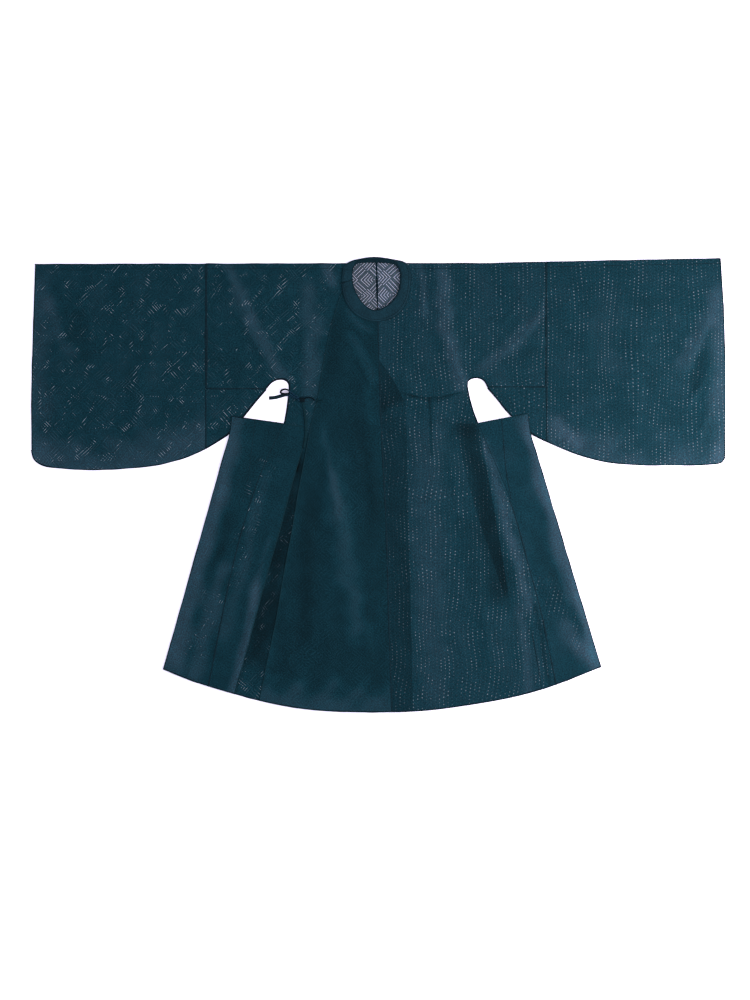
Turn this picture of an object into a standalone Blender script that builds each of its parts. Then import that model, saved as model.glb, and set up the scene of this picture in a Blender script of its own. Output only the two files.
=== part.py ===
"""Round-collared robe with folded side panels, laid out flat on its back.

The tables are in millimetres, as someone looks down on the laid-out robe: x to the right of the centre back
seam, y down from the shoulder line. In the model +X is to that person's right, +Y is towards the collar and +Z
is up, and the origin is on the floor below the middle of the robe's outline.
"""

import math
from collections import namedtuple

import bmesh
import bpy
from mathutils import Matrix, Vector
from mathutils.geometry import delaunay_2d_cdt

MM = 0.001

# Cloth, in millimetres
WALL = 1.0              # one thickness of gauze with its seam allowances
GAP = 0.3               # between two pieces, at a seam or one above the other
PLY = WALL + GAP        # from one layer to the next
COARSE = 70             # spacing of points along an edge that stays flat
FINE = 22               # the same along an edge that a fold crosses
CELL = 25               # spacing of points inside a sheet where it rises
SLIGHT_RISE = 0.03      # a sheet that rises less than this within a cell has no point there
CLEAR_OF_EDGE = 0.45    # nearest that an inside point may come to the edge, in cells

# The cut, in millimetres
SEAM_LEFT, SEAM_RIGHT = -487, 485           # sleeve seams
UNDERARM_LEFT, UNDERARM_RIGHT = 357, 352    # depth of the seams above the underarm pieces
NECK_LEFT, NECK_RIGHT = -82, 82             # where the shoulder seams end under the collar
NECK_BACK, NECK_FRONT = -12, 150            # middle of the neck edge, behind and in front
CUFF_LEFT, CUFF_RIGHT = -985, 996
HEM_CENTRE = 1281
SIDE_CORNER_LEFT, SIDE_CORNER_RIGHT = (-265, 456), (290, 455)     # where a side slit starts
PANEL_CORNER_LEFT, PANEL_CORNER_RIGHT = (-413, 435), (432, 428)   # top outer corners of the side panels
PANEL_HEM_LEFT, PANEL_HEM_RIGHT = -609, 641                       # their outer corners at the hem
FLAP_TOP = (-84, 48)                        # where the outer flap's free edge leaves the neck
INNER_NECK = (6, 232)                       # where the inner front's neck slope meets the centre seam
BLUNT_TIP = 4                               # cut off the sharp tips of the underarm pieces

# Ties, in millimetres
TIE_WIDTH = 9
CORD_WIDTH = 2.6        # a tie folded lengthwise, standing on its edge
CORD_HEIGHT = 5.0
KNOT = (-213, 389)
KNOT_SIZE = (18, 14, 6.5)
KNOT_ROUNDING = 2.2

# Layers, counted up from the floor
BACK, INNER, OUTER, OVER = 0, 1, 2, 3

ROBE_SRGB = (0.13, 0.26, 0.32)
COLLAR_SRGB = (0.08, 0.19, 0.24)
TIE_SRGB = (0.05, 0.13, 0.18)

# A soft fold: the pieces that it shows on, three points of its crest, its half width and its height
Fold = namedtuple("Fold", "pieces x0 y0 x1 y1 x2 y2 half_width height")
FOLDS = (
    Fold(("front_right",), 158, 16, 195, 161, 246, 350, 40, 6.0),
    Fold(("front_right",), 152, 385, 156, 600, 148, 800, 36, 4.5),
    Fold(("front_right", "sleeve_right"), 560, 130, 430, 215, 315, 272, 42, 4.0),
    Fold(("front_right", "side_panel_right"), 318, 545, 372, 800, 462, 1110, 34, 5.0),
    Fold(("overlap_outer",), -140, 480, -118, 780, -62, 1090, 44, 6.0),
    Fold(("front_left",), -425, 40, -330, 200, -268, 318, 38, 6.0),
    Fold(("front_left",), -192, 24, -197, 130, -200, 262, 26, 3.5),
    Fold(("side_panel_left",), -338, 930, -352, 1090, -425, 1225, 28, 5.0),
    Fold(("side_panel_right",), 435, 830, 520, 960, 625, 1118, 30, 4.5),
    Fold(("sleeve_right",), 938, 95, 955, 330, 945, 520, 34, 5.0),
    Fold(("sleeve_right",), 525, 400, 580, 462, 660, 545, 32, 4.5),
    Fold(("sleeve_right",), 800, 150, 730, 300, 700, 480, 46, 4.0),
    Fold(("sleeve_left",), -930, 120, -905, 330, -880, 540, 38, 4.5),
    Fold(("sleeve_left",), -560, 70, -650, 250, -700, 470, 46, 4.0),
)

# Where a piece climbs over others: the middle of the climb, how far from it the piece stays up, where it is
# down again, and how many layers it climbs
Lift = namedtuple("Lift", "piece x y full gone layers")
LIFTS = (
    Lift("side_panel_left", -405, 457, 48, 118, 1),
    Lift("side_panel_right", 425, 450, 58, 128, 2),
)

# The collar band: its inner and outer edge at each station, from its outer end round to its inner end, and the
# layer that it lies on there
Station = namedtuple("Station", "in_x in_y out_x out_y layer")
COLLAR = (
    Station(-69, 17, -96, 17, 3.0),
    Station(-70, 33, -98, 38, 3.0),
    Station(-67, 61, -97, 75, 3.0),
    Station(-57, 88, -86, 112, 3.0),
    Station(-42, 111, -63, 142, 3.0),
    Station(-23, 128, -30, 160, 3.0),
    Station(-3, 134, 3, 165, 3.0),
    Station(21, 125, 35, 158, 3.0),
    Station(44, 107, 65, 140, 3.0),
    Station(61, 80, 87, 104, 3.0),
    Station(68, 44, 96, 61, 3.0),
    Station(65, 18, 96, 24, 3.0),
    Station(51, 0, 83, -1, 3.0),
    Station(27, -6, 48, -11, 1.8),
    Station(-5, -6, -5, -18, 1.0),
    Station(-36, -6, -42, -14, 1.1),
    Station(-55, -2, -76, -5, 2.0),
    Station(-66, 11, -95, 10, 2.0),
    Station(-70, 28, -98, 28, 2.0),
    Station(-70, 44, -98, 44, 2.0),
)


# Edges

def straight(*points, step=COARSE):
    """The points along straight runs between the given ones, no further apart than step."""
    line = [Vector(points[0])]
    for start, end in zip(map(Vector, points), map(Vector, points[1:])):
        count = max(1, math.ceil((end - start).length / step))
        line += [start.lerp(end, i / count) for i in range(1, count + 1)]
    return line


def curved(*points, step=COARSE):
    """The points of a smooth curve through the given ones, with at least two runs between each pair."""
    knots = [Vector(p) for p in points]
    knots = [2 * knots[0] - knots[1]] + knots + [2 * knots[-1] - knots[-2]]
    line = [knots[1]]
    for before, start, end, after in zip(knots, knots[1:], knots[2:], knots[3:]):
        times = [0.0]
        for a, b in ((before, start), (start, end), (end, after)):
            times.append(times[-1] + math.sqrt((b - a).length))
        count = max(2, math.ceil((end - start).length / step))
        for i in range(1, count + 1):
            t = times[1] + (times[2] - times[1]) * i / count
            line.append(pyramid((before, start, end, after), times, t))
    return line


def pyramid(points, times, t):
    """The centripetal Catmull-Rom point at time t between the two middle points."""
    row = [blend(points[i], points[i + 1], times[i], times[i + 1], t) for i in range(3)]
    row = [blend(row[i], row[i + 1], times[i], times[i + 2], t) for i in range(2)]
    return blend(row[0], row[1], times[1], times[2], t)


def blend(a, b, time_a, time_b, t):
    return a + (b - a) * ((t - time_a) / (time_b - time_a))


def back(edge):
    """An edge run the other way."""
    return edge[::-1]


def shortened(edge, length):
    """An edge without its first stretch of the given length."""
    run = edge[1] - edge[0]
    return [edge[0] + run.normalized() * length] + edge[1:]


HEM = curved(
    (PANEL_HEM_LEFT, 1159), (-530, 1191), (-414, 1227), (-297, 1257), (-182, 1275), (-65, HEM_CENTRE),
    (44, HEM_CENTRE), (157, 1275), (274, 1259), (390, 1238), (506, 1205), (PANEL_HEM_RIGHT, 1152),
)


def hem_at(x):
    """The point of the hem curve at x."""
    for a, b in zip(HEM, HEM[1:]):
        if a.x <= x <= b.x:
            return a.lerp(b, (x - a.x) / (b.x - a.x))
    raise ValueError(f"the hem doesn't reach {x}")


def hem(start, end):
    """The stretch of the hem curve from one x to another."""
    low, high = sorted((start, end))
    stretch = [hem_at(low)] + [p for p in HEM if low + 1 < p.x < high - 1] + [hem_at(high)]
    return stretch if start < end else back(stretch)


CENTRE = curved(
    (0, NECK_BACK), (4, NECK_FRONT), INNER_NECK, (11, 412), (18, 561), (28, 761), (35, 1018), (44, HEM_CENTRE),
)
CENTRE_FRONT = [p for p in CENTRE if p.y >= NECK_FRONT - 1]
CENTRE_INNER = [p for p in CENTRE if p.y >= INNER_NECK[1] - 1]

SHOULDER_LEFT = straight((SEAM_LEFT, 1), (NECK_LEFT, 0))
SLEEVE_TOP_LEFT = straight((-975, 2), (SEAM_LEFT, 1))
CUFF_EDGE_LEFT = curved((CUFF_LEFT, 532), (-986, 389), (-981, 190), (-975, 2))
SLEEVE_BOTTOM_LEFT = curved(
    (SEAM_LEFT, 528), (-527, 547), (-608, 572), (-699, 584), (-821, 589), (-932, 581), (-964, 571),
    (-980, 555), (CUFF_LEFT, 532),
)
SLEEVE_SEAM_LEFT = straight((SEAM_LEFT, UNDERARM_LEFT), (SEAM_LEFT, 1))
SLEEVE_SEAM_LOW_LEFT = straight((SEAM_LEFT, 528), (SEAM_LEFT, UNDERARM_LEFT))
UNDERARM_SEAM_LEFT = straight((-313, UNDERARM_LEFT), (SEAM_LEFT, UNDERARM_LEFT))
UNDERARM_EDGE_LEFT = curved(
    (-313, UNDERARM_LEFT), (-344, 392), (-381, 438), (-419, 483), (SEAM_LEFT, 528),
)
ARMPIT_LEFT = curved(
    SIDE_CORNER_LEFT, (-259, 424), (-253, 378), (-251, 361), (-253, 342), (-264, 333), (-282, 333), (-299, 341),
    (-313, UNDERARM_LEFT),
)
FRONT_SIDE_LEFT = curved(
    SIDE_CORNER_LEFT, (-282, 492), (-295, 540), (-327, 644), (-373, 740), (-401, 818), (-427, 903),
    (-456, 1046), hem_at(-481),
)
BACK_SIDE_LEFT = curved(
    SIDE_CORNER_LEFT, (-297, 541), (-325, 660), (-344, 775), (-367, 903), (-396, 1046), hem_at(-430),
)

SHOULDER_RIGHT = straight((NECK_RIGHT, 0), (295, 0), (SEAM_RIGHT, -4))
SLEEVE_TOP_RIGHT = straight((SEAM_RIGHT, -4), (769, -10), (982, -14))
CUFF_EDGE_RIGHT = curved((982, -14), (991, 121), (995, 264), (CUFF_RIGHT, 452), (994, 553))
SLEEVE_BOTTOM_RIGHT = curved(
    (994, 553), (986, 567), (958, 573), (840, 576), (745, 575), (674, 569), (626, 560), (555, 538),
    (SEAM_RIGHT, 508),
)
SLEEVE_SEAM_RIGHT = straight((SEAM_RIGHT, -4), (SEAM_RIGHT, UNDERARM_RIGHT), step=FINE)
SLEEVE_SEAM_LOW_RIGHT = straight((SEAM_RIGHT, UNDERARM_RIGHT), (SEAM_RIGHT, 508))
UNDERARM_SEAM_RIGHT = straight((SEAM_RIGHT, UNDERARM_RIGHT), (315, UNDERARM_RIGHT))
UNDERARM_EDGE_RIGHT = curved((SEAM_RIGHT, 508), (440, 484), (385, 435), (352, 397), (315, UNDERARM_RIGHT))
ARMPIT_RIGHT = curved(
    (315, UNDERARM_RIGHT), (308, 338), (294, 329), (275, 329), (261, 338), (263, 365), (274, 411),
    SIDE_CORNER_RIGHT,
)
FRONT_SIDE_RIGHT = curved(
    SIDE_CORNER_RIGHT, (303, 492), (321, 544), (343, 600), (384, 690), (415, 795), (444, 903), (472, 1010),
    hem_at(512),
)
BACK_SIDE_RIGHT = curved(
    SIDE_CORNER_RIGHT, (306, 538), (334, 665), (358, 795), (384, 940), (412, 1070), hem_at(452),
)

PANEL_FOLD_LEFT = straight(PANEL_CORNER_LEFT, (-419, 484), hem_at(PANEL_HEM_LEFT))
PANEL_FOLD_RIGHT = straight(PANEL_CORNER_RIGHT, (440, 486), hem_at(PANEL_HEM_RIGHT))
PANEL_FREE_LEFT = curved(
    (-199, 467), (-210, 526), (-233, 604), (-264, 721), (-299, 846), (-338, 989), hem_at(-404),
)
PANEL_FREE_RIGHT = curved((218, 465), (260, 618), (315, 810), (370, 975), hem_at(424))
FLAP_EDGE = curved(
    FLAP_TOP, (-108, 104), (-133, 190), (-154, 290), (-168, 380), (-190, 470), (-207, 561), (-224, 650),
    (-244, 769), (-267, 892), (-287, 1012), (-313, 1135), hem_at(-336),
)
INNER_SLOPE = curved((NECK_LEFT, 0), (-84, 40), (-87, 72), (-80, 106), (-55, 143), (-27, 181), INNER_NECK)
INNER_FLAP_EDGE = curved(INNER_NECK, (44, 310), (87, 381)) + straight((87, 381), (98, 1203), hem_at(110))[1:]


def collar_middle(first, last):
    """The line under the middle of the collar band, where the panels' neck edges lie."""
    return [Vector(((s.in_x + s.out_x) / 2, (s.in_y + s.out_y) / 2)) for s in COLLAR[first:last]]


NECK_LINE_LEFT = curved(FLAP_TOP, *collar_middle(3, 6), (4, NECK_FRONT))
NECK_LINE_RIGHT = curved((4, NECK_FRONT), *collar_middle(7, 12), (NECK_RIGHT, 0))
NECK_BACK_LEFT = curved((NECK_LEFT, 0), (-62, -6), (-35, -10), (0, NECK_BACK))
NECK_BACK_RIGHT = curved((0, NECK_BACK), (24, -11), (48, -7), (NECK_RIGHT, 0))


# Height of the cloth

def smooth_step(t):
    t = min(max(t, 0.0), 1.0)
    return t * t * (3 - 2 * t)


def crest_of(fold):
    return curved((fold.x0, fold.y0), (fold.x1, fold.y1), (fold.x2, fold.y2), step=60)


CRESTS = {fold: crest_of(fold) for fold in FOLDS}


def nearest(line, point):
    """How far a point is from a line, and how far along the line its nearest point is, from 0 to 1."""
    best = (math.inf, 0.0)
    for i, (a, b) in enumerate(zip(line, line[1:])):
        run = b - a
        t = min(max((point - a).dot(run) / run.length_squared, 0.0), 1.0)
        best = min(best, ((point - a - run * t).length, (i + t) / (len(line) - 1)))
    return best


def climb(piece, point):
    """How far a piece lies above its own layer where it crosses others."""
    rise = 0.0
    for lift in LIFTS:
        if lift.piece == piece:
            distance = (point - Vector((lift.x, lift.y))).length
            rise = max(rise, lift.layers * PLY * smooth_step((lift.gone - distance) / (lift.gone - lift.full)))
    return rise


def swell(piece, point):
    """How far the soft folds raise a piece."""
    rise = 0.0
    for fold, crest in CRESTS.items():
        if piece in fold.pieces:
            distance, along = nearest(crest, point)
            across = max(0.0, 1 - (distance / fold.half_width) ** 2) ** 2
            ends = smooth_step(along / 0.3) * smooth_step((1 - along) / 0.3)
            rise = max(rise, fold.height * across * ends)
    return rise


# Sheets

def chain(*edges):
    """One outline from edges that follow each other, and whether each run of it is closed by a fold or seam.

    An edge is a list of points, or ("closed", points) where the cloth turns back there.
    """
    outline, closed = [], []
    for edge in edges:
        is_closed = isinstance(edge, tuple)
        points = edge[1] if is_closed else edge
        outline += points[:-1]
        closed += [is_closed] * (len(points) - 1)
    return outline, closed


def inset(outline, closed):
    """The outline moved inwards by half a gap, and by half a wall more where the cloth turns back there."""
    turn = sum(a.x * b.y - b.x * a.y for a, b in zip(outline, outline[1:] + outline[:1]))
    side = 1 if turn > 0 else -1
    moved = []
    for i, point in enumerate(outline):
        into, out_of = point - outline[i - 1], outline[(i + 1) % len(outline)] - point
        normals = [Vector((-run.y, run.x)).normalized() * side for run in (into, out_of)]
        depths = [(WALL + GAP if closed[j] else GAP) / 2 for j in (i - 1, i)]
        cross = normals[0].x * normals[1].y - normals[0].y * normals[1].x
        if abs(cross) < 0.2:
            step = (normals[0] + normals[1]).normalized() * max(depths)
        else:
            step = Vector((
                depths[0] * normals[1].y - depths[1] * normals[0].y,
                depths[1] * normals[0].x - depths[0] * normals[1].x,
            )) / cross
        moved.append(point + step)
    return moved


def holds(outline, point):
    """Whether a point is inside an outline."""
    inside = False
    for a, b in zip(outline, outline[1:] + outline[:1]):
        if (a.y > point.y) != (b.y > point.y) and point.x < a.x + (b.x - a.x) * (point.y - a.y) / (b.y - a.y):
            inside = not inside
    return inside


def inner_points(outline, height):
    """The points of an even grid inside the outline, where the height changes near them."""
    around = [Vector((CELL * math.cos(a), CELL * math.sin(a))) for a in (0, math.tau / 3, 2 * math.tau / 3)]
    ring = outline + outline[:1]
    row_height = CELL * math.sqrt(3) / 2
    across, down = [p.x for p in outline], [p.y for p in outline]
    kept = []
    for row in range(math.floor(min(down) / row_height), math.ceil(max(down) / row_height)):
        for column in range(math.floor(min(across) / CELL), math.ceil(max(across) / CELL)):
            point = Vector(((column + row % 2 / 2) * CELL, row * row_height))
            heights = [height(point)] + [height(point + step) for step in around]
            heights += [height(point - step) for step in around]
            changes = max(heights) - min(heights) > SLIGHT_RISE
            if changes and holds(outline, point) and nearest(ring, point)[0] > CELL * CLEAR_OF_EDGE:
                kept.append(point)
    return kept


def lay(form, outline, height):
    """Adds a sheet inside the outline to a bmesh and gives its vertices by their place in the outline."""
    points = outline + inner_points(outline, height)
    flat, _, triangles, origins, _, _ = delaunay_2d_cdt(points, [], [list(range(len(outline)))], 1, 1e-6)
    made = [form.verts.new(Vector((p.x, -p.y, height(p))) * MM) for p in flat]
    for triangle in triangles:
        form.faces.new([made[i] for i in triangle])
    return {source: made[i] for i, sources in enumerate(origins) for source in sources if source < len(outline)}


def thicken_upwards(form, thickness):
    """Makes a wall of a sheet by raising a copy of it."""
    raised = bmesh.ops.extrude_face_region(form, geom=form.faces[:])["geom"]
    moved = [v for v in raised if isinstance(v, bmesh.types.BMVert)]
    bmesh.ops.translate(form, verts=moved, vec=(0, 0, thickness * MM))


# Objects

def material(name, srgb, roughness):
    made = bpy.data.materials.new(name)
    made.use_nodes = True
    shader = made.node_tree.nodes["Principled BSDF"]
    shader.inputs["Base Color"].default_value = (*(channel ** 2.2 for channel in srgb), 1)
    shader.inputs["Roughness"].default_value = roughness
    return made


def place(name, form, finish):
    """Makes an object of a bmesh, with its faces pointing outwards, in the robe's collection."""
    bmesh.ops.recalc_face_normals(form, faces=form.faces)
    mesh = bpy.data.meshes.new(name)
    form.to_mesh(mesh)
    form.free()
    mesh.materials.append(finish)
    made = bpy.data.objects.new(name, mesh)
    robe.objects.link(made)
    return made


def single(name, layer, finish, *edges):
    """A piece of one thickness that lies on the given layer."""
    form = bmesh.new()
    lay(form, inset(*chain(*edges)), lambda p: layer * PLY + climb(name, p) + swell(name, p))
    thicken_upwards(form, WALL)
    return place(name, form, finish)


def doubled(name, lower_layer, upper_layer, finish, lower_edges, upper_edges):
    """A piece of two thicknesses, joined where its edges are closed and open at the others."""
    form = bmesh.new()
    sheets = []
    for layer, edges, risen in ((lower_layer, lower_edges, climb), (upper_layer, upper_edges, total)):
        outline, closed = chain(*edges)
        moved = inset(outline, closed)
        vertices = lay(form, moved, lambda p: layer * PLY + WALL / 2 + risen(name, p))
        sheets.append((moved, closed, vertices))
    (lower, closed, lower_vertices), (upper, _, upper_vertices) = sheets
    above = {i: min(range(len(upper)), key=lambda j: (upper[j] - p).length) for i, p in enumerate(lower)}
    for i, is_closed in enumerate(closed):
        if is_closed:
            j = (i + 1) % len(lower)
            corners = [lower_vertices[i], lower_vertices[j], upper_vertices[above[j]], upper_vertices[above[i]]]
            form.faces.new(corners)
    made = place(name, form, finish)
    wall = made.modifiers.new("wall", "SOLIDIFY")
    wall.thickness = WALL * MM
    wall.offset = 0
    wall.solidify_mode = "NON_MANIFOLD"
    wall.nonmanifold_thickness_mode = "CONSTRAINTS"
    return made


def total(piece, point):
    return climb(piece, point) + swell(piece, point)


def band(name, finish, sides, heights, thickness):
    """A strip between two lines, lying at the given height at each pair of their points."""
    form = bmesh.new()
    rows = [
        [form.verts.new(Vector((p.x, -p.y, z)) * MM) for p in pair] for pair, z in zip(zip(*sides), heights)
    ]
    for (a, b), (c, d) in zip(rows, rows[1:]):
        form.faces.new((a, b, d, c))
    thicken_upwards(form, thickness)
    return place(name, form, finish)


def offsets(line, width):
    """The two lines at half the width on each side of a line."""
    sides = [], []
    for i, point in enumerate(line):
        run = line[min(i + 1, len(line) - 1)] - line[max(i - 1, 0)]
        across = Vector((-run.y, run.x)).normalized() * width / 2
        sides[0].append(point + across)
        sides[1].append(point - across)
    return sides


# The robe

def make_back(finish):
    single(
        "back_left", BACK, finish, CENTRE, hem(44, -430), back(BACK_SIDE_LEFT), ARMPIT_LEFT,
        UNDERARM_SEAM_LEFT, SLEEVE_SEAM_LEFT, SHOULDER_LEFT, NECK_BACK_LEFT,
    )
    single(
        "back_right", BACK, finish, back(CENTRE), NECK_BACK_RIGHT, SHOULDER_RIGHT, SLEEVE_SEAM_RIGHT,
        UNDERARM_SEAM_RIGHT, ARMPIT_RIGHT, BACK_SIDE_RIGHT, hem(452, 44),
    )


def make_fronts(finish):
    single(
        "front_left", INNER, finish, INNER_SLOPE, CENTRE_INNER, hem(44, -481), back(FRONT_SIDE_LEFT),
        ARMPIT_LEFT, UNDERARM_SEAM_LEFT, SLEEVE_SEAM_LEFT, SHOULDER_LEFT,
    )
    single("overlap_inner", INNER, finish, INNER_FLAP_EDGE, hem(110, 44), back(CENTRE_INNER))
    single(
        "front_right", OUTER, finish, back(CENTRE_FRONT), NECK_LINE_RIGHT, SHOULDER_RIGHT, SLEEVE_SEAM_RIGHT,
        UNDERARM_SEAM_RIGHT, ARMPIT_RIGHT, FRONT_SIDE_RIGHT, hem(512, 44),
    )
    single("overlap_outer", OUTER, finish, NECK_LINE_LEFT, CENTRE_FRONT, hem(44, -336), back(FLAP_EDGE))


def make_sleeves(finish):
    left = (
        SLEEVE_SEAM_LOW_LEFT, SLEEVE_SEAM_LEFT, ("closed", back(SLEEVE_TOP_LEFT)), back(CUFF_EDGE_LEFT),
        ("closed", back(SLEEVE_BOTTOM_LEFT)),
    )
    right = (
        ("closed", SLEEVE_TOP_RIGHT), CUFF_EDGE_RIGHT, ("closed", SLEEVE_BOTTOM_RIGHT),
        back(SLEEVE_SEAM_LOW_RIGHT), back(SLEEVE_SEAM_RIGHT),
    )
    doubled("sleeve_left", BACK, INNER, finish, left, left)
    doubled("sleeve_right", BACK, OUTER, finish, right, right)
    seam, edge = shortened(UNDERARM_SEAM_LEFT, BLUNT_TIP), shortened(UNDERARM_EDGE_LEFT, BLUNT_TIP)
    left = (seam, back(SLEEVE_SEAM_LOW_LEFT), ("closed", back(edge)), [edge[0], seam[0]])
    seam, edge = shortened(back(UNDERARM_SEAM_RIGHT), BLUNT_TIP), shortened(back(UNDERARM_EDGE_RIGHT), BLUNT_TIP)
    right = (seam, SLEEVE_SEAM_LOW_RIGHT, ("closed", back(edge)), [edge[0], seam[0]])
    doubled("underarm_left", BACK, INNER, finish, left, left)
    doubled("underarm_right", BACK, OUTER, finish, right, right)


def make_side_panels(finish):
    fold = ("closed", PANEL_FOLD_LEFT)
    doubled(
        "side_panel_left", INNER, OUTER, finish,
        (straight(SIDE_CORNER_LEFT, PANEL_CORNER_LEFT), fold, hem(PANEL_HEM_LEFT, -481), back(FRONT_SIDE_LEFT)),
        (straight(PANEL_FREE_LEFT[0], SIDE_CORNER_LEFT, PANEL_CORNER_LEFT), fold, hem(PANEL_HEM_LEFT, -404),
         back(PANEL_FREE_LEFT)),
    )
    fold = ("closed", PANEL_FOLD_RIGHT)
    doubled(
        "side_panel_right", INNER, OUTER, finish,
        (straight(PANEL_FREE_RIGHT[0], SIDE_CORNER_RIGHT, PANEL_CORNER_RIGHT), fold, hem(PANEL_HEM_RIGHT, 424),
         back(PANEL_FREE_RIGHT)),
        (straight(SIDE_CORNER_RIGHT, PANEL_CORNER_RIGHT), fold, hem(PANEL_HEM_RIGHT, 512), back(FRONT_SIDE_RIGHT)),
    )


def make_collar(finish):
    """The neck band, which comes down from the front's layer to the back's and ends under its own outer end."""
    inner = curved(*((s.in_x, s.in_y) for s in COLLAR))
    outer = curved(*((s.out_x, s.out_y) for s in COLLAR))
    # Each run between two stations, being short, has one point in its middle
    heights = [COLLAR[0].layer * PLY]
    for station, following in zip(COLLAR, COLLAR[1:]):
        heights += [(station.layer + following.layer) / 2 * PLY, following.layer * PLY]
    band("collar", finish, (inner, outer), heights, WALL)


def make_outer_tie(finish):
    """A bow at the side: its knot, the strap from the flap, one loop and two free ends."""
    knot_left, knot_right = KNOT[0] - KNOT_SIZE[0] / 2 - GAP, KNOT[0] + KNOT_SIZE[0] / 2 + GAP
    knot_bottom = KNOT[1] + KNOT_SIZE[1] / 2 + 3 * GAP

    form = bmesh.new()
    bmesh.ops.create_cube(form, size=1)
    bmesh.ops.scale(form, vec=Vector(KNOT_SIZE) * MM, verts=form.verts)
    middle = Vector((KNOT[0], -KNOT[1], OUTER * PLY + KNOT_SIZE[2] / 2)) * MM
    bmesh.ops.translate(form, vec=middle, verts=form.verts)
    knot = place("tie_knot", form, finish)
    rounding = knot.modifiers.new("rounding", "BEVEL")
    rounding.width = KNOT_ROUNDING * MM
    rounding.segments = 2

    strap = curved(
        (knot_right + CORD_WIDTH / 2, 386), (-196, 382), (-186, 383), (-178, 389), (-166, 393), (-152, 392), step=12,
    )
    band("tie_flap", finish, offsets(strap, CORD_WIDTH), [OVER * PLY] * len(strap), CORD_HEIGHT)

    loop = curved(
        (knot_left - CORD_WIDTH / 2, 384.5), (-249, 364), (-256, 359.5), (-264, 359), (-271, 362), (-274, 367),
        (-269, 371.5), (-261, 372.5), (-250, 371.5), (knot_left - CORD_WIDTH / 2, 391.5), step=12,
    )
    band("tie_loop", finish, offsets(loop, CORD_WIDTH), [OVER * PLY] * len(loop), CORD_HEIGHT)

    side_end = curved((knot_left - TIE_WIDTH / 4, 388), (-253, 374.5), (-276, 379), (-288, 382), (-306, 384), step=12)
    floor_from, floor_at = -256, -296
    heights = [OUTER * PLY * smooth_step((p.x - floor_at) / (floor_from - floor_at)) for p in side_end]
    band("tie_tail_side", finish, offsets(side_end, TIE_WIDTH), heights, WALL)

    down_end = curved((-210, knot_bottom), (-206, 420), (-202, 458), (-202, 492), (-207, 526), step=25)
    band("tie_tail_down", finish, offsets(down_end, TIE_WIDTH - 1), [OVER * PLY] * len(down_end), WALL)


def make_inner_tie(finish):
    """The tie between the layers, knotted once, with one end hanging: an outline with its knot in the middle."""
    half = TIE_WIDTH / 2
    outline = straight(
        (91, 384 - half), (138, 386 - half), (143, 378), (159, 378), (164, 384 - half), (255, 364 - half),
        (256, 364 + half), (165, 384 + half), (160, 395), (159, 480), (161, 561), (152, 561), (150, 480),
        (148, 396), (143, 395), (138, 386 + half), (91, 384 + half), (91, 384 - half), step=200,
    )
    single("tie_inside", INNER, finish, outline)


def centre_on_origin(pieces):
    """Moves the pieces together so that the middle of their outline is above the origin."""
    corners = [v.co for piece in pieces for v in piece.data.vertices]
    middle = [(min(c[i] for c in corners) + max(c[i] for c in corners)) / 2 for i in (0, 1)]
    for piece in pieces:
        piece.data.transform(Matrix.Translation((-middle[0], -middle[1], 0)))


for leftover in list(bpy.data.objects):
    bpy.data.objects.remove(leftover)
robe = bpy.data.collections.new("robe")
bpy.context.scene.collection.children.link(robe)

gauze = material("figured gauze", ROBE_SRGB, 0.6)
collar_cloth = material("doubled gauze", COLLAR_SRGB, 0.6)
tie_cloth = material("tie gauze", TIE_SRGB, 0.6)

make_back(gauze)
make_fronts(gauze)
make_sleeves(gauze)
make_side_panels(gauze)
make_collar(collar_cloth)
make_outer_tie(tie_cloth)
make_inner_tie(tie_cloth)
centre_on_origin(robe.objects[:])
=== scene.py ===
"""Dresses the laid-out robe: figured gauze with its glints, creases, seams, hems, ties and stitches.

The tables are in millimetres as someone looks down on the robe: x to the right of the centre back seam and y
down from the shoulder line, as in the part's own tables. Heights are above the floor.
"""

import math
from collections import Counter, namedtuple

import bmesh
import bpy
import numpy as np
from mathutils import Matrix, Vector
from mathutils.bvhtree import BVHTree
from mathutils.geometry import delaunay_2d_cdt


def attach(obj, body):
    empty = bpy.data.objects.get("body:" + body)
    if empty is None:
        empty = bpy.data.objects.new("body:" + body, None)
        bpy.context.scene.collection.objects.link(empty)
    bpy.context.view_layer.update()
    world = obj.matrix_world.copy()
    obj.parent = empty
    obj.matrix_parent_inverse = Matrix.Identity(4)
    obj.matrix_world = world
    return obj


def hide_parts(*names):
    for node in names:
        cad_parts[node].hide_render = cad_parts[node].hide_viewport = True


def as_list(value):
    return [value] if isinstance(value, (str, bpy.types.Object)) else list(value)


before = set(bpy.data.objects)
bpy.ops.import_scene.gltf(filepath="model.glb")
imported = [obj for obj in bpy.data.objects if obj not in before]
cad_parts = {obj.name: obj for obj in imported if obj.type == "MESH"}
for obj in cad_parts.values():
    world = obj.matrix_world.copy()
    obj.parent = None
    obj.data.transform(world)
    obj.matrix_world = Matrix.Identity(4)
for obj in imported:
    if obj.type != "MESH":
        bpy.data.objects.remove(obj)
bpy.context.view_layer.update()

MM = 0.001
MIDDLE_X, MIDDLE_Y = 5.05, 631.5    # the place in the tables that lies on the frame's origin

# Cloth, in millimetres
CAD_WALL = 1.0
GAUZE = 0.3             # thickness of the gauze itself
LOW_IN_WALL = 0.2       # how far above the underside of its solid the middle of the gauze lies
CELL = 9.0              # spacing of the points inside a sheet
EDGE_CELL = 8.0         # the same along its edges
CLEAR_OF_EDGE = 0.6     # nearest that a point of the grid may come to the edge, in cells
LINE_CELL = 30.0        # spacing along the crest of a crease or the middle of a tone
FINE_LINE_CELL = 6.0    # the same where the sheet has points of its own along it
SHARP = 38              # degrees that an edge turns at a corner

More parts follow.
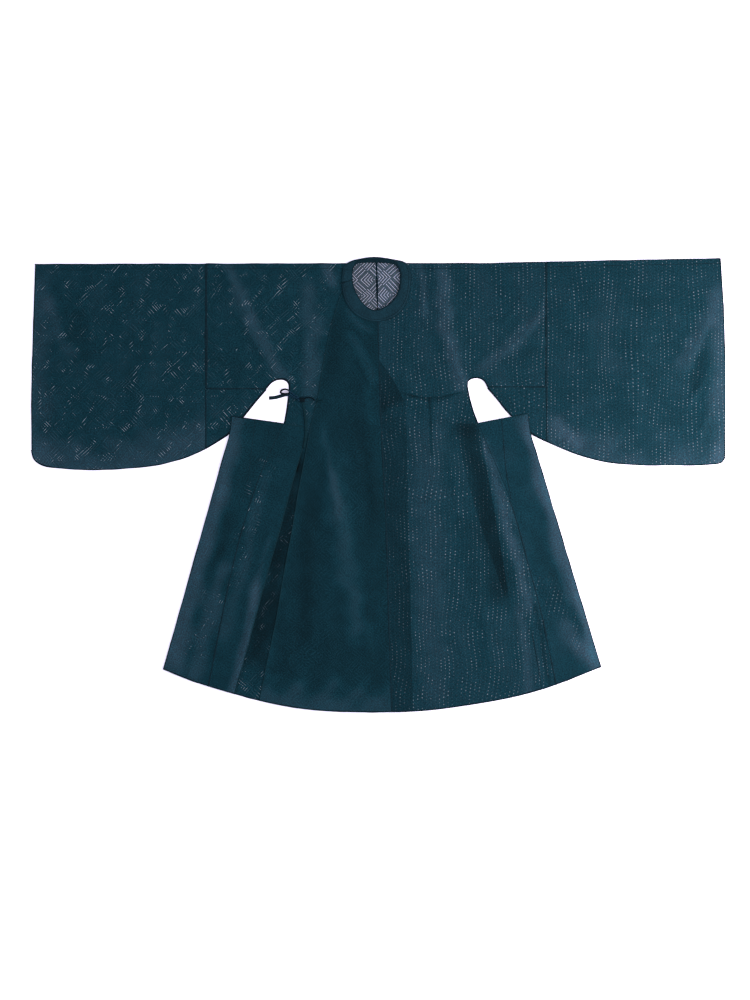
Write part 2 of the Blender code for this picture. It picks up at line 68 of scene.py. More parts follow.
# The figure of the weave, in millimetres
FRET_CELL = 3.08
FRET_BLOCK = 10         # cells to a block of the fret
FRET_STRIPES = 4        # stripes to a striped block
THREAD = 0.7
COLUMN_SPACE, DOT_SPACE, ROW_SPACE = 12.2, 9.4, 44      # of the dots where lanes in step cross

PAINTED_LIGHT_WARMTH = (0.010, 0.0, 0.0, 1)      # colour added where the cloth is painted paler by painted light, by its share
LEAST_OPEN = 0.08                       # how open the lanes of gauze lying double stay between fringes


# Light, camera and floor

def make_camera():
    """A camera straight above the robe, as far off as the photograph's frame needs."""
    frame_height, lens, sensor = 2.8551, 100.0, 36.0
    middle_x, middle_y = -0.0096, -0.0434
    data = bpy.data.cameras.new("camera")
    data.lens = lens
    data.sensor_width = sensor
    data.clip_end = 100
    camera = bpy.data.objects.new("camera", data)
    camera.location = (middle_x, middle_y, frame_height * lens / sensor)
    bpy.context.scene.collection.objects.link(camera)
    bpy.context.scene.camera = camera


def area_light(name, place, aim, size, power, colour=(1, 1, 1)):
    data = bpy.data.lights.new(name, "AREA")
    data.shape = "DISK"
    data.size = size
    data.energy = power
    data.color = colour
    light = bpy.data.objects.new(name, data)
    light.location = place
    light.rotation_euler = (Vector(aim) - Vector(place)).to_track_quat("-Z", "Y").to_euler()
    bpy.context.scene.collection.objects.link(light)


def make_studio():
    world = bpy.data.worlds.new("studio")
    bpy.context.scene.world = world
    world.use_nodes = True
    world.node_tree.nodes["Background"].inputs["Color"].default_value = (1.0, 1.0, 1.03, 1)
    world.node_tree.nodes["Background"].inputs["Strength"].default_value = 1.3
    area_light(
        "key", place=(1.85, -0.08, 0.85), aim=(0.7, -0.08, 0.0), size=1.1, power=64, colour=(1.12, 1.0, 0.95))
    scene = bpy.context.scene
    scene.view_settings.view_transform = "Standard"
    scene.cycles.filter_width = 1.3
    scene.cycles.transparent_max_bounces = 24
    scene.cycles.max_bounces = 6
    scene.cycles.diffuse_bounces = 3


def make_floor():
    reach = 12
    mesh = bpy.data.meshes.new("floor")
    corners = [(-reach, -reach, 0), (reach, -reach, 0), (reach, reach, 0), (-reach, reach, 0)]
    mesh.from_pydata(corners, [], [(0, 1, 2, 3)])
    floor = bpy.data.objects.new("floor", mesh)
    bpy.context.scene.collection.objects.link(floor)
    paper = bpy.data.materials.new("white paper")
    paper.use_nodes = True
    shader = paper.node_tree.nodes["Principled BSDF"]
    # tinted so that it renders white in this light
    shader.inputs["Base Color"].default_value = (0.83, 0.805, 0.98, 1)
    shader.inputs["Roughness"].default_value = 0.9
    shader.inputs["Specular IOR Level"].default_value = 0.1
    mesh.materials.append(paper)


# Materials

class Wiring:
    """Adds nodes to a node tree and joins them."""

    def __init__(self, tree):
        self.tree = tree

    def add(self, kind, *inputs, **settings):
        node = self.tree.nodes.new(kind)
        for name, value in settings.items():
            setattr(node, name, value)
        for socket, value in zip(node.inputs, inputs):
            self.feed(socket, value)
        return node

    def feed(self, socket, value):
        if isinstance(value, bpy.types.NodeSocket):
            self.tree.links.new(value, socket)
        elif value is not None:
            socket.default_value = value

    def math(self, operation, *inputs):
        return self.add("ShaderNodeMath", *inputs, operation=operation).outputs[0]

    def mix(self, factor, a, b):
        node = self.add("ShaderNodeMix", data_type="FLOAT")
        for socket, value in zip(node.inputs[0:1] + node.inputs[2:4], (factor, a, b)):
            self.feed(socket, value)
        return node.outputs[0]

    def blend(self, factor, a, b, kind="MIX"):
        node = self.add("ShaderNodeMix", data_type="RGBA", blend_type=kind)
        for socket, value in zip(node.inputs[0:1] + node.inputs[6:8], (factor, a, b)):
            self.feed(socket, value)
        return node.outputs[2]

    def ramp(self, value, low, high, to_low=0.0, to_high=1.0):
        return self.add(
            "ShaderNodeMapRange", value, low, high, to_low, to_high, interpolation_type="SMOOTHSTEP",
        ).outputs[0]


def shader_group(name, inputs, outputs):
    """An empty shader node group with the named sockets, and the wiring to fill it."""
    group = bpy.data.node_groups.new(name, "ShaderNodeTree")
    for socket, kind, value in inputs:
        made = group.interface.new_socket(name=socket, in_out="INPUT", socket_type=kind)
        if value is not None:
            made.default_value = value
    for socket in outputs:
        group.interface.new_socket(name=socket, in_out="OUTPUT", socket_type="NodeSocketFloat")
    wiring = Wiring(group)
    return group, wiring, wiring.add("NodeGroupInput").outputs, wiring.add("NodeGroupOutput").inputs


def make_fret():
    """The key fret of the weave: blocks of angles within angles, and blocks of stripes between them.

    Lane is 1 along its thin, open lanes and 0 on the denser figure.
    """
    group, wire, given, out = shader_group(
        "key fret",
        (("Place", "NodeSocketVector", None), ("Cell", "NodeSocketFloat", FRET_CELL * MM),
         ("Lane Width", "NodeSocketFloat", 0.52), ("Softness", "NodeSocketFloat", 0.5)),
        ("Lane",),
    )
    turned = wire.add("ShaderNodeVectorRotate", given["Place"], rotation_type="Z_AXIS")
    turned.inputs["Angle"].default_value = math.radians(45)
    split = wire.add("ShaderNodeSeparateXYZ", turned.outputs[0]).outputs
    u = wire.math("DIVIDE", split[0], given["Cell"])
    v = wire.math("DIVIDE", split[1], given["Cell"])
    half = FRET_BLOCK / 2
    block_u = wire.math("FLOOR", wire.math("DIVIDE", u, FRET_BLOCK))
    block_v = wire.math("FLOOR", wire.math("DIVIDE", v, FRET_BLOCK))
    p = wire.math("SUBTRACT", wire.math("SUBTRACT", u, wire.math("MULTIPLY", block_u, FRET_BLOCK)), half)
    q = wire.math("SUBTRACT", wire.math("SUBTRACT", v, wire.math("MULTIPLY", block_v, FRET_BLOCK)), half)
    is_angled = wire.math("PINGPONG", wire.math("ADD", block_u, block_v), 1.0)
    is_upright = wire.math("PINGPONG", block_u, 1.0)

    # Distance to the nearest lane, in cells: angles within angles, or stripes
    side = wire.mix(is_upright, -1.0, 1.0)
    corner = wire.math("MAXIMUM", wire.math("MULTIPLY", p, side), wire.math("MULTIPLY", q, side))
    to_angle = wire.math("SUBTRACT", 1.0, wire.math("PINGPONG", wire.math("ADD", corner, half), 1.0))
    spacing = FRET_BLOCK / FRET_STRIPES
    stripe = wire.math("PINGPONG", wire.math("DIVIDE", wire.mix(is_upright, q, p), spacing), 0.5)
    to_stripe = wire.math("MULTIPLY", stripe, spacing)
    distance = wire.mix(is_angled, to_angle, to_stripe)
    half_width = wire.math("MULTIPLY", given["Lane Width"], 0.5)
    low = wire.math("MULTIPLY", half_width, wire.math("SUBTRACT", 1.0, given["Softness"]))
    high = wire.math("MULTIPLY", half_width, wire.math("ADD", 1.0, given["Softness"]))
    to_edge = wire.math("MAXIMUM", wire.math("ABSOLUTE", p), wire.math("ABSOLUTE", q))
    # no lane runs on into the next block
    clear = wire.ramp(to_edge, half - 0.42, half - 0.18, 1.0, 0.0)
    wire.feed(out["Lane"], wire.math("MULTIPLY", wire.ramp(distance, low, high, 1.0, 0.0), clear))
    return group


def make_threads():
    """Fine crossing threads with slubs: Height for a bump, and Slub, a mask that varies along the threads."""
    group, wire, given, out = shader_group(
        "gauze threads",
        (("Place", "NodeSocketVector", None), ("Thread", "NodeSocketFloat", THREAD * MM)),
        ("Height", "Slub"),
    )
    split = wire.add("ShaderNodeSeparateXYZ", given["Place"]).outputs
    waves = []
    for socket in (split[0], split[1]):
        turns = wire.math("MULTIPLY", wire.math("DIVIDE", socket, given["Thread"]), math.tau)
        waves.append(wire.math("SINE", turns))
    crossed = wire.math("MULTIPLY", wire.math("ADD", waves[0], waves[1]), 0.5)
    # slubs are fine across the threads and long along them
    long_noise = wire.add("ShaderNodeMapping", given["Place"])
    long_noise.inputs["Scale"].default_value = (900, 30, 1)
    slub = wire.add("ShaderNodeTexNoise", long_noise.outputs[0])
    slub.inputs["Scale"].default_value = 1.0
    slub.inputs["Detail"].default_value = 2.0
    wire.feed(out["Height"], wire.math("ADD", crossed, slub.outputs[0]))
    wire.feed(out["Slub"], slub.outputs[0])
    return group


def make_mottling():
    """Shade, how light each spot of the cloth is: slubs, a fine grain and broader clouds, multiplied."""
    group, wire, given, out = shader_group(
        "mottling",
        (("Place", "NodeSocketVector", None), ("Object Place", "NodeSocketVector", None),
         ("Slub", "NodeSocketFloat", 0.5), ("Fine", "NodeSocketFloat", 0.2),
         ("Broad", "NodeSocketFloat", 0.1)),
        ("Shade",),
    )
    shade = wire.ramp(given["Slub"], 0.2, 0.8, 0.85, 1.15)
    grain = wire.add("ShaderNodeTexNoise", given["Place"])
    grain.inputs["Scale"].default_value = 260.0
    grain.inputs["Detail"].default_value = 2.0
    cloud = wire.add("ShaderNodeTexNoise", given["Object Place"])
    cloud.inputs["Scale"].default_value = 26.0
    cloud.inputs["Detail"].default_value = 5.0
    cloud.inputs["Roughness"].default_value = 0.6
    for noise, amount in ((grain, given["Fine"]), (cloud, given["Broad"])):
        low, high = wire.math("SUBTRACT", 1.0, amount), wire.math("ADD", 1.0, amount)
        shade = wire.math("MULTIPLY", shade, wire.ramp(noise.outputs[0], 0.3, 0.7, low, high))
    wire.feed(out["Shade"], shade)
    return group


def make_fringes():
    """Open, how wide the lanes stand open: fully along fringes, where Fringe is near a whole number."""
    group, wire, given, out = shader_group(
        "open fringes",
        (("Place", "NodeSocketVector", None), ("Fringe", "NodeSocketFloat", 0.0),
         ("Least Open", "NodeSocketFloat", LEAST_OPEN)),
        ("Open",),
    )
    stray = wire.add("ShaderNodeTexNoise", given["Place"])
    stray.inputs["Scale"].default_value = 170.0
    stray.inputs["Detail"].default_value = 1.0
    # 0 on a fringe and 1 midway between two, made ragged by the noise
    off = wire.math("MULTIPLY", wire.math("PINGPONG", given["Fringe"], 0.5), 2.0)
    off = wire.math("ADD", off, wire.math("MULTIPLY", wire.math("SUBTRACT", stray.outputs[0], 0.5), 1.3))
    wire.feed(out["Open"], wire.ramp(off, 0.06, 0.38, 1.0, given["Least Open"]))
    return group


def make_crossings():
    """Dots, where lanes of two thicknesses in step cross: close along each column, stronger in some rows."""
    group, wire, given, out = shader_group(
        "crossings in columns",
        (("Place", "NodeSocketVector", None), ("Column Space", "NodeSocketFloat", COLUMN_SPACE * MM),
         ("Dot Space", "NodeSocketFloat", DOT_SPACE * MM), ("Row Space", "NodeSocketFloat", ROW_SPACE * MM)),
        ("Dots",),
    )
    split = wire.add("ShaderNodeSeparateXYZ", given["Place"]).outputs
    columns = wire.math("DIVIDE", split[0], given["Column Space"])
    stagger = wire.math("PINGPONG", wire.math("FLOOR", wire.math("ADD", columns, 0.5)), 1.0)
    half_step = wire.math("MULTIPLY", stagger, 0.5)
    dots = wire.math("ADD", wire.math("DIVIDE", split[1], given["Dot Space"]), half_step)
    rows = wire.math("DIVIDE", split[1], given["Row Space"])
    # the shares of each space that a dot's middle and its soft edge take, and the weaker rows
    found = wire.ramp(wire.math("PINGPONG", columns, 0.5), 0.05, 0.17, 1.0, 0.0)
    found = wire.math("MULTIPLY", found, wire.ramp(wire.math("PINGPONG", dots, 0.5), 0.07, 0.25, 1.0, 0.0))
    found = wire.math("MULTIPLY", found, wire.ramp(wire.math("PINGPONG", rows, 0.5), 0.1, 0.4, 1.0, 0.65))
    wire.feed(out["Dots"], found)
    return group


fret = make_fret()
threads = make_threads()
mottling = make_mottling()
fringes = make_fringes()
crossings = make_crossings()


def group_node(wire, group, **inputs):
    node = wire.add("ShaderNodeGroup")
    node.node_tree = group
    for name, value in inputs.items():
        wire.feed(node.inputs[name.replace("_", " ")], value)
    return node.outputs


def through(transparency):
    """The alpha of each of a shell's two faces that lets this share of the light through both."""
    return 1 - math.sqrt(transparency)


def attribute(wire, name):
    return wire.add("ShaderNodeAttribute", attribute_name=name).outputs["Fac"]


def tinted(wire, colour, shade):
    """A colour made lighter or darker by a shade."""
    grey = wire.add("ShaderNodeCombineColor", shade, shade, shade).outputs[0]
    return wire.blend(1.0, colour, grey, "MULTIPLY")


class ClothNodes:
    """The nodes that every cloth material starts with."""

    def __init__(self, name, fine, broad, relief):
        self.material = bpy.data.materials.new(name)
        self.material.use_nodes = True
        self.wire = Wiring(self.material.node_tree)
        self.shader = self.material.node_tree.nodes["Principled BSDF"]
        self.place = self.wire.add("ShaderNodeUVMap", uv_map="weave").outputs[0]
        thread = group_node(self.wire, threads, Place=self.place)
        self.slub = thread["Slub"]
        self.shade = group_node(
            self.wire, mottling, Place=self.place, Slub=self.slub, Fine=fine, Broad=broad,
            Object_Place=self.wire.add("ShaderNodeTexCoord").outputs["Object"])["Shade"]
        bump = self.wire.add("ShaderNodeBump")
        bump.inputs["Strength"].default_value = relief
        bump.inputs["Distance"].default_value = 0.0002
        self.wire.feed(bump.inputs["Height"], thread["Height"])
        self.wire.feed(self.shader.inputs["Normal"], bump.outputs[0])

    def gauze_colour(self, figure, lane, is_lane):
        """The figure's and lanes' colours, made paler and a little redder by painted light, or darker by
        painted shade.
        """
        tone = attribute(self.wire, "tone")
        shade = self.wire.math("MULTIPLY", self.shade, self.wire.math("ADD", tone, 1.0))
        colour = tinted(self.wire, self.wire.blend(is_lane, (*figure, 1), (*lane, 1)), shade)
        return self.wire.blend(self.wire.math("MAXIMUM", tone, 0.0), colour, PAINTED_LIGHT_WARMTH, "ADD")

    def gauze_surface(self):
        self.wire.feed(self.shader.inputs["Roughness"], self.wire.ramp(self.slub, 0.2, 0.8, 0.52, 0.68))
        self.shader.inputs["Specular IOR Level"].default_value = 0.02
        self.shader.inputs["Sheen Weight"].default_value = 0.012
        self.shader.inputs["Sheen Roughness"].default_value = 0.5


def laid_gauze_material(name, figure, lane, glint, in_step=False):
    """Gauze lying double: light glints where an open lane crosses one of the thickness beneath.

    The map beneath places the lanes of that thickness, and the attribute glints says how strongly the
    crossings show. In step, the lanes cross in columns of dots instead.
    """
    nodes = ClothNodes(name, fine=0.32, broad=0.07, relief=0.25)
    wire = nodes.wire
    own = group_node(wire, fret, Place=nodes.place)["Lane"]
    under_place = wire.add("ShaderNodeUVMap", uv_map="beneath").outputs[0]
    under = group_node(wire, fret, Place=under_place)["Lane"]
    either = wire.math("MULTIPLY", wire.math("ADD", own, under), 0.5)
    fringe = attribute(wire, "fringe")
    is_open = group_node(wire, fringes, Place=nodes.place, Fringe=fringe)["Open"]
    if in_step:
        crossing = group_node(wire, crossings, Place=nodes.place)["Dots"]
    else:
        crossing = wire.math("MULTIPLY", own, under)
    glints = wire.math("MULTIPLY", crossing, is_open)
    glints = wire.math("MULTIPLY", glints, attribute(wire, "glints"))
    colour = nodes.gauze_colour(figure, lane, either)
    wire.feed(nodes.shader.inputs["Base Color"], wire.blend(glints, colour, (*glint, 1)))
    nodes.gauze_surface()
    return nodes.material


def gauze_material(name, figure, lane, clear_figure, clear_lane):
    """Gauze lying single: its figure and its open lanes, each with a colour and the light that it lets by."""
    nodes = ClothNodes(name, fine=0.22, broad=0.07, relief=0.25)
    wire = nodes.wire
    is_lane = group_node(wire, fret, Place=nodes.place)["Lane"]
    wire.feed(nodes.shader.inputs["Base Color"], nodes.gauze_colour(figure, lane, is_lane))
    wire.feed(nodes.shader.inputs["Alpha"], wire.mix(is_lane, through(clear_figure), through(clear_lane)))
    nodes.gauze_surface()
    return nodes.material


def dense_material(name, colour, roughness=0.6, alpha=1.0):
    """Cloth in several thicknesses, as in seams and hems, that shows no fret."""
    nodes = ClothNodes(name, fine=0.25, broad=0.16, relief=0.4)
    nodes.wire.feed(nodes.shader.inputs["Base Color"], tinted(nodes.wire, (*colour, 1), nodes.shade))
    nodes.shader.inputs["Roughness"].default_value = roughness
    nodes.shader.inputs["Specular IOR Level"].default_value = 0.03
    nodes.shader.inputs["Alpha"].default_value = alpha
    return nodes.material


def plain_material(name, colour, roughness=0.6):
    material = bpy.data.materials.new(name)
    material.use_nodes = True
    shader = material.node_tree.nodes["Principled BSDF"]
    shader.inputs["Base Color"].default_value = (*colour, 1)
    shader.inputs["Roughness"].default_value = roughness
    shader.inputs["Specular IOR Level"].default_value = 0.1
    return material


left_gauze = laid_gauze_material(
    "figured gauze of the left half",
    figure=(0.0018, 0.0163, 0.0247), lane=(0.0032, 0.0215, 0.0345), glint=(0.12, 0.15, 0.19),
)
right_gauze = laid_gauze_material(
    "figured gauze of the right half",
    figure=(0.0020, 0.0165, 0.0255), lane=(0.0030, 0.0195, 0.0310), glint=(0.078, 0.100, 0.127), in_step=True,
)
back_gauze = gauze_material(
    "figured gauze of the back",
    figure=(0.0023, 0.0204, 0.0310), lane=(0.0068, 0.0275, 0.075), clear_figure=0.165, clear_lane=0.52,
)
collar_gauze = dense_material("doubled gauze", (0.0035, 0.0172, 0.0268))
seam_gauze = dense_material("seam gauze", (0.0017, 0.0098, 0.0155))
deep_gauze = dense_material("deep seam gauze", (0.001, 0.005, 0.009))
hem_gauze = dense_material("narrow hem gauze", (0.0019, 0.0142, 0.0205))
sewing_thread = plain_material("sewing thread", (0.004, 0.018, 0.028))
tie_gauze = dense_material("tie gauze", (0.0008, 0.0042, 0.0070), alpha=0.98)
tail_gauze = dense_material("tie gauze, single", (0.0042, 0.0140, 0.0200), alpha=0.93)
pale_gauze = dense_material("tie gauze over the robe", (0.0050, 0.0215, 0.0400), alpha=0.75)


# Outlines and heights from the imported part

def to_table(corners):
    """Frame coordinates as places in the tables, with heights in millimetres."""
    corners = np.asarray(corners, float)
    return np.column_stack((
        corners[:, 0] / MM + MIDDLE_X, MIDDLE_Y - corners[:, 1] / MM, corners[:, 2] / MM,
    ))


def to_frame(points):
    points = np.asarray(points, float)
    return np.column_stack((
        (points[:, 0] - MIDDLE_X) * MM, (MIDDLE_Y - points[:, 1]) * MM, points[:, 2] * MM,
    ))


Side = namedtuple("Side", "looks_up outline tree height")


def sides_of(node):
    """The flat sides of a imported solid: which way each looks, its outline, its faces and its mean height."""
    form = bmesh.new()
    form.from_mesh(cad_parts[node].data)
    bmesh.ops.remove_doubles(form, verts=form.verts, dist=1e-5)
    form.normal_update()
    flat_enough = 0.5
    seen, sides = set(), []
    for first in form.faces:
        if first in seen or abs(first.normal.z) < flat_enough:
            continue
        looks_up = first.normal.z > 0
        group = [first]
        seen.add(first)
        for face in group:
            for other in (linked for edge in face.edges for linked in edge.link_faces):
                is_flat = abs(other.normal.z) > flat_enough
                if other not in seen and is_flat and (other.normal.z > 0) == looks_up:
                    seen.add(other)
                    group.append(other)
        sides.append(side_from(group, looks_up))
    form.free()
    return sides


def side_from(group, looks_up):
    count = Counter(edge for face in group for edge in face.edges)
    following = {}
    for edge in (edge for edge, faces in count.items() if faces == 1):
        for vertex in edge.verts:
            following.setdefault(vertex, []).append(edge.other_vert(vertex))
    start = next(iter(following))
    loop, previous = [start], None
    while True:
        ahead = [v for v in following[loop[-1]] if v is not previous]
        previous = loop[-1]
        if ahead[0] is start:
            break
        loop.append(ahead[0])
    if len(loop) != len(following):
        raise ValueError("an outline has more than one loop")
    vertices = {v: i for i, v in enumerate({v for face in group for v in face.verts})}
    corners = to_table([v.co for v in vertices])
    tree = BVHTree.FromPolygons(corners.tolist(), [[vertices[v] for v in face.verts] for face in group])
    outline = to_table([v.co for v in loop])[:, :2]
    return Side(looks_up, outline, tree, corners[:, 2].mean())


def height_on(tree, points, guess):
    """The height of a side's faces at each point, or of the nearest face where it is just off their edge."""
    heights = np.empty(len(points))
    for i, (x, y) in enumerate(points):
        hit = tree.ray_cast(Vector((x, y, 1000)), Vector((0, 0, -1)))[0]
        if hit is None:
            hit = tree.find_nearest(Vector((x, y, guess)))[0]
        heights[i] = hit.z
    return heights


def turn_at(before, here, after):
    a, b = here - before, after - here
    return abs(math.degrees(math.atan2(a[0] * b[1] - a[1] * b[0], a @ b)))


def through_points(before, start, end, after, count):
    """Points of a smooth curve from start, without end, that heads on to the ones before and after."""
    times = [0.0]
    for a, b in ((before, start), (start, end), (end, after)):
        times.append(times[-1] + max(np.linalg.norm(b - a), 1e-6) ** 0.5)
    made = []
    for i in range(count):
        t = times[1] + (times[2] - times[1]) * i / count
        row = [before, start, end, after]
        for span in (1, 2):
            row = [
                a + (b - a) * ((t - times[j]) / (times[j + span] - times[j]))
                for j, (a, b) in enumerate(zip(row, row[1:]))
            ]
        made.append(row[0] + (row[1] - row[0]) * ((t - times[1]) / (times[2] - times[1])))
    return made


def smooth_loop(outline, step=EDGE_CELL):
    """An outline with rounder curves between its sharp corners."""
    n = len(outline)
    sharp = [turn_at(outline[i - 1], outline[i], outline[(i + 1) % n]) > SHARP for i in range(n)]
    made = []
    for i in range(n):
        start, end = outline[i], outline[(i + 1) % n]
        before = 2 * start - end if sharp[i] else outline[i - 1]
        after = 2 * end - start if sharp[(i + 1) % n] else outline[(i + 2) % n]
        count = max(1, math.ceil(np.linalg.norm(end - start) / step))
        made += through_points(before, start, end, after, count)
    return np.array(made)


def inside(outline, points):
    """Whether each point is inside the outline."""
    held = np.zeros(len(points), bool)
    ends = np.roll(outline, -1, axis=0)
    for (ax, ay), (bx, by) in zip(outline, ends):
        if ay == by:
            continue
        crosses = (ay > points[:, 1]) != (by > points[:, 1])
        held ^= crosses & (points[:, 0] < ax + (bx - ax) * (points[:, 1] - ay) / (by - ay))
    return held


def clear_inside(outline, points, clearance):
    """The points that are inside the outline and that far from all its corners."""
    points = points[inside(outline, points)]
    near = np.full(len(points), 1e9)
    for edge_point in outline:
        near = np.minimum(near, ((points - edge_point) ** 2).sum(1))
    return points[near > clearance ** 2]


def even_points(outline):
    """The points of an even grid inside the outline and clear of it."""
    row = CELL * math.sqrt(3) / 2
    low, high = outline.min(0), outline.max(0)
    points = []
    for j in range(math.floor(low[1] / row), math.ceil(high[1] / row)):
        xs = (np.arange(math.floor(low[0] / CELL), math.ceil(high[0] / CELL)) + j % 2 / 2) * CELL
        points.append(np.column_stack((xs, np.full(len(xs), j * row))))
    return clear_inside(outline, np.vstack(points), CLEAR_OF_EDGE * CELL)


def relax(heights, triangles, fixed, rounds=10, share=0.6):
    """Evens out heights between neighbours, so that a fold is round instead of faceted."""
    edges = np.vstack((triangles[:, :2], triangles[:, 1:], triangles[:, ::2]))
    number = np.bincount(edges.ravel(), minlength=len(heights))
    for _ in range(rounds):
        total = np.bincount(edges[:, 0], heights[edges[:, 1]], minlength=len(heights))
        total += np.bincount(edges[:, 1], heights[edges[:, 0]], minlength=len(heights))
        heights = np.where(fixed, heights, (1 - share) * heights + share * total / number)
    return heights


CREASE_FADE, TONE_FADE = 0.35, 0.15     # shares of its length over which a crease or tone fades at each end
FINE_TONE = 8                           # half width below which a sheet has points of its own along a tone
TONE_SEED, TONE_DRIFT, TONE_WAVE = 50, 0.12, 100.0      # a tone's edges stray by a share of its half width

# Creases: three points of each crest, its half width, its height and how far it leans to one side
Crease = namedtuple("Crease", "x0 y0 x1 y1 x2 y2 half_width height lean")
CREASES = tuple(Crease(*row) for row in (
    # the left chest, running from the shoulder to the armpit
    (-452, 8, -392, 90, -384, 150, 13, 1.7, 0.2), (-384, 140, -345, 225, -275, 320, 14, 2.1, -0.2),
    (-340, 40, -322, 120, -318, 200, 16, 1.2, 0.1), (-268, 30, -252, 110, -255, 215, 18, 1.4, 0.2),
    (-160, 8, -130, 40, -118, 75, 11, 1.5, 0.2), (-212, 170, -196, 260, -190, 360, 22, 1.9, -0.2),
    (-440, 200, -395, 270, -330, 340, 15, 1.3, 0.3), (-232, 400, -218, 376, -190, 372, 7, 1.2, 0.0),
    # the right chest
    (118, 22, 128, 110, 132, 190, 16, 1.8, 0.2), (190, 20, 200, 120, 214, 240, 18, 2.0, 0.1),
    (214, 230, 232, 300, 262, 366, 14, 2.0, -0.2), (475, 118, 425, 195, 345, 262, 15, 2.0, 0.2),
    (440, 62, 380, 150, 318, 205, 12, 1.3, -0.2), (330, 300, 350, 268, 395, 238, 9, 1.1, 0.1),
    (60, 205, 78, 290, 76, 356, 20, 1.2, 0.1), (268, 70, 276, 140, 270, 205, 13, 1.1, -0.1),
    # the flap
    (-60, 176, -48, 205, -10, 238, 10, 1.5, 0.2), (-70, 250, -42, 300, -12, 366, 13, 1.8, 0.2),
    (-146, 500, -118, 690, -62, 920, 30, 2.6, 0.2), (-92, 420, -60, 520, -42, 640, 20, 1.3, -0.2),
    (-196, 640, -200, 800, -214, 985, 24, 1.2, 0.1), (-150, 935, -140, 1050, -118, 1180, 28, 1.6, 0.0),
    (-238, 1010, -252, 1110, -276, 1210, 22, 1.5, 0.1), (-38, 980, -30, 1080, -16, 1190, 22, 1.4, 0.2),
    (-104, 380, -94, 430, -72, 470, 9, 1.0, 0.0), (-28, 520, -12, 640, -6, 760, 16, 1.2, 0.1),
    # the right front
    (98, 470, 112, 620, 118, 760, 24, 1.6, 0.1), (196, 500, 226, 640, 240, 780, 18, 1.5, -0.1),
    (150, 850, 168, 980, 190, 1130, 26, 1.7, 0.1), (268, 880, 300, 1000, 326, 1150, 20, 1.6, 0.2),
    (92, 960, 104, 1060, 112, 1180, 20, 1.3, 0.0), (228, 1020, 244, 1100, 268, 1190, 14, 1.1, -0.2),
    # the side panels
    (-300, 700, -318, 830, -352, 960, 14, 1.5, 0.2), (-330, 925, -372, 1085, -410, 1210, 12, 2.2, -0.2),
    (-430, 500, -452, 640, -492, 800, 20, 1.6, 0.2), (-505, 840, -530, 960, -566, 1090, 16, 1.4, 0.1),
    (-390, 560, -404, 640, -420, 720, 10, 1.0, 0.0), (-440, 1010, -452, 1080, -476, 1160, 11, 1.2, 0.1),
    (330, 560, 372, 690, 408, 800, 12, 1.8, 0.2), (410, 800, 446, 930, 470, 1050, 15, 1.8, -0.1),
    (452, 500, 480, 640, 520, 790, 20, 1.7, -0.2), (520, 820, 560, 960, 604, 1090, 18, 1.9, 0.2),
    (472, 1010, 496, 1090, 508, 1160, 10, 1.2, 0.0), (556, 640, 572, 720, 592, 800, 10, 1.1, 0.1),
    # the right sleeve
    (560, 470, 530, 520, 512, 480, 12, 1.6, 0.2), (612, 130, 598, 250, 604, 350, 22, 1.6, 0.1),
    (700, 60, 688, 170, 672, 262, 20, 1.5, -0.1), (960, 110, 905, 240, 850, 340, 20, 2.2, 0.2),
    (972, 250, 925, 350, 870, 430, 16, 1.9, -0.2), (955, 400, 925, 470, 905, 545, 18, 1.8, 0.2),
    (760, 300, 742, 420, 730, 520, 22, 1.6, 0.1), (640, 420, 652, 490, 672, 545, 14, 1.3, 0.0),
    (850, 80, 842, 150, 830, 240, 15, 1.2, 0.1),
    # the left sleeve
    (-950, 110, -880, 210, -800, 330, 26, 2.2, -0.2), (-962, 250, -930, 380, -885, 500, 20, 1.8, 0.2),
    (-700, 40, -690, 150, -700, 270, 22, 1.5, 0.1), (-600, 60, -585, 180, -592, 300, 18, 1.5, -0.1),
    (-640, 350, -690, 440, -730, 520, 18, 1.4, 0.2), (-520, 380, -545, 440, -590, 500, 14, 1.4, 0.1),
    (-850, 440, -800, 490, -730, 535, 16, 1.3, 0.1), (-800, 40, -790, 110, -802, 190, 15, 1.2, 0.0),
))


def crease_height(points):
    """How far the creases raise the cloth at each point."""
    rise = np.zeros(len(points))
    for crease in CREASES:
        distance, along, side = nearest_on(line_of(crease), points)
        across = distance * side / crease.half_width
        across = across + crease.lean * (1 - across ** 2).clip(0)
        ridge = (1 - across ** 2).clip(0) ** 2
        ends = smooth_step(along / CREASE_FADE) * smooth_step((1 - along) / CREASE_FADE)
        rise = np.maximum(rise, crease.height * ridge * ends)
    return rise
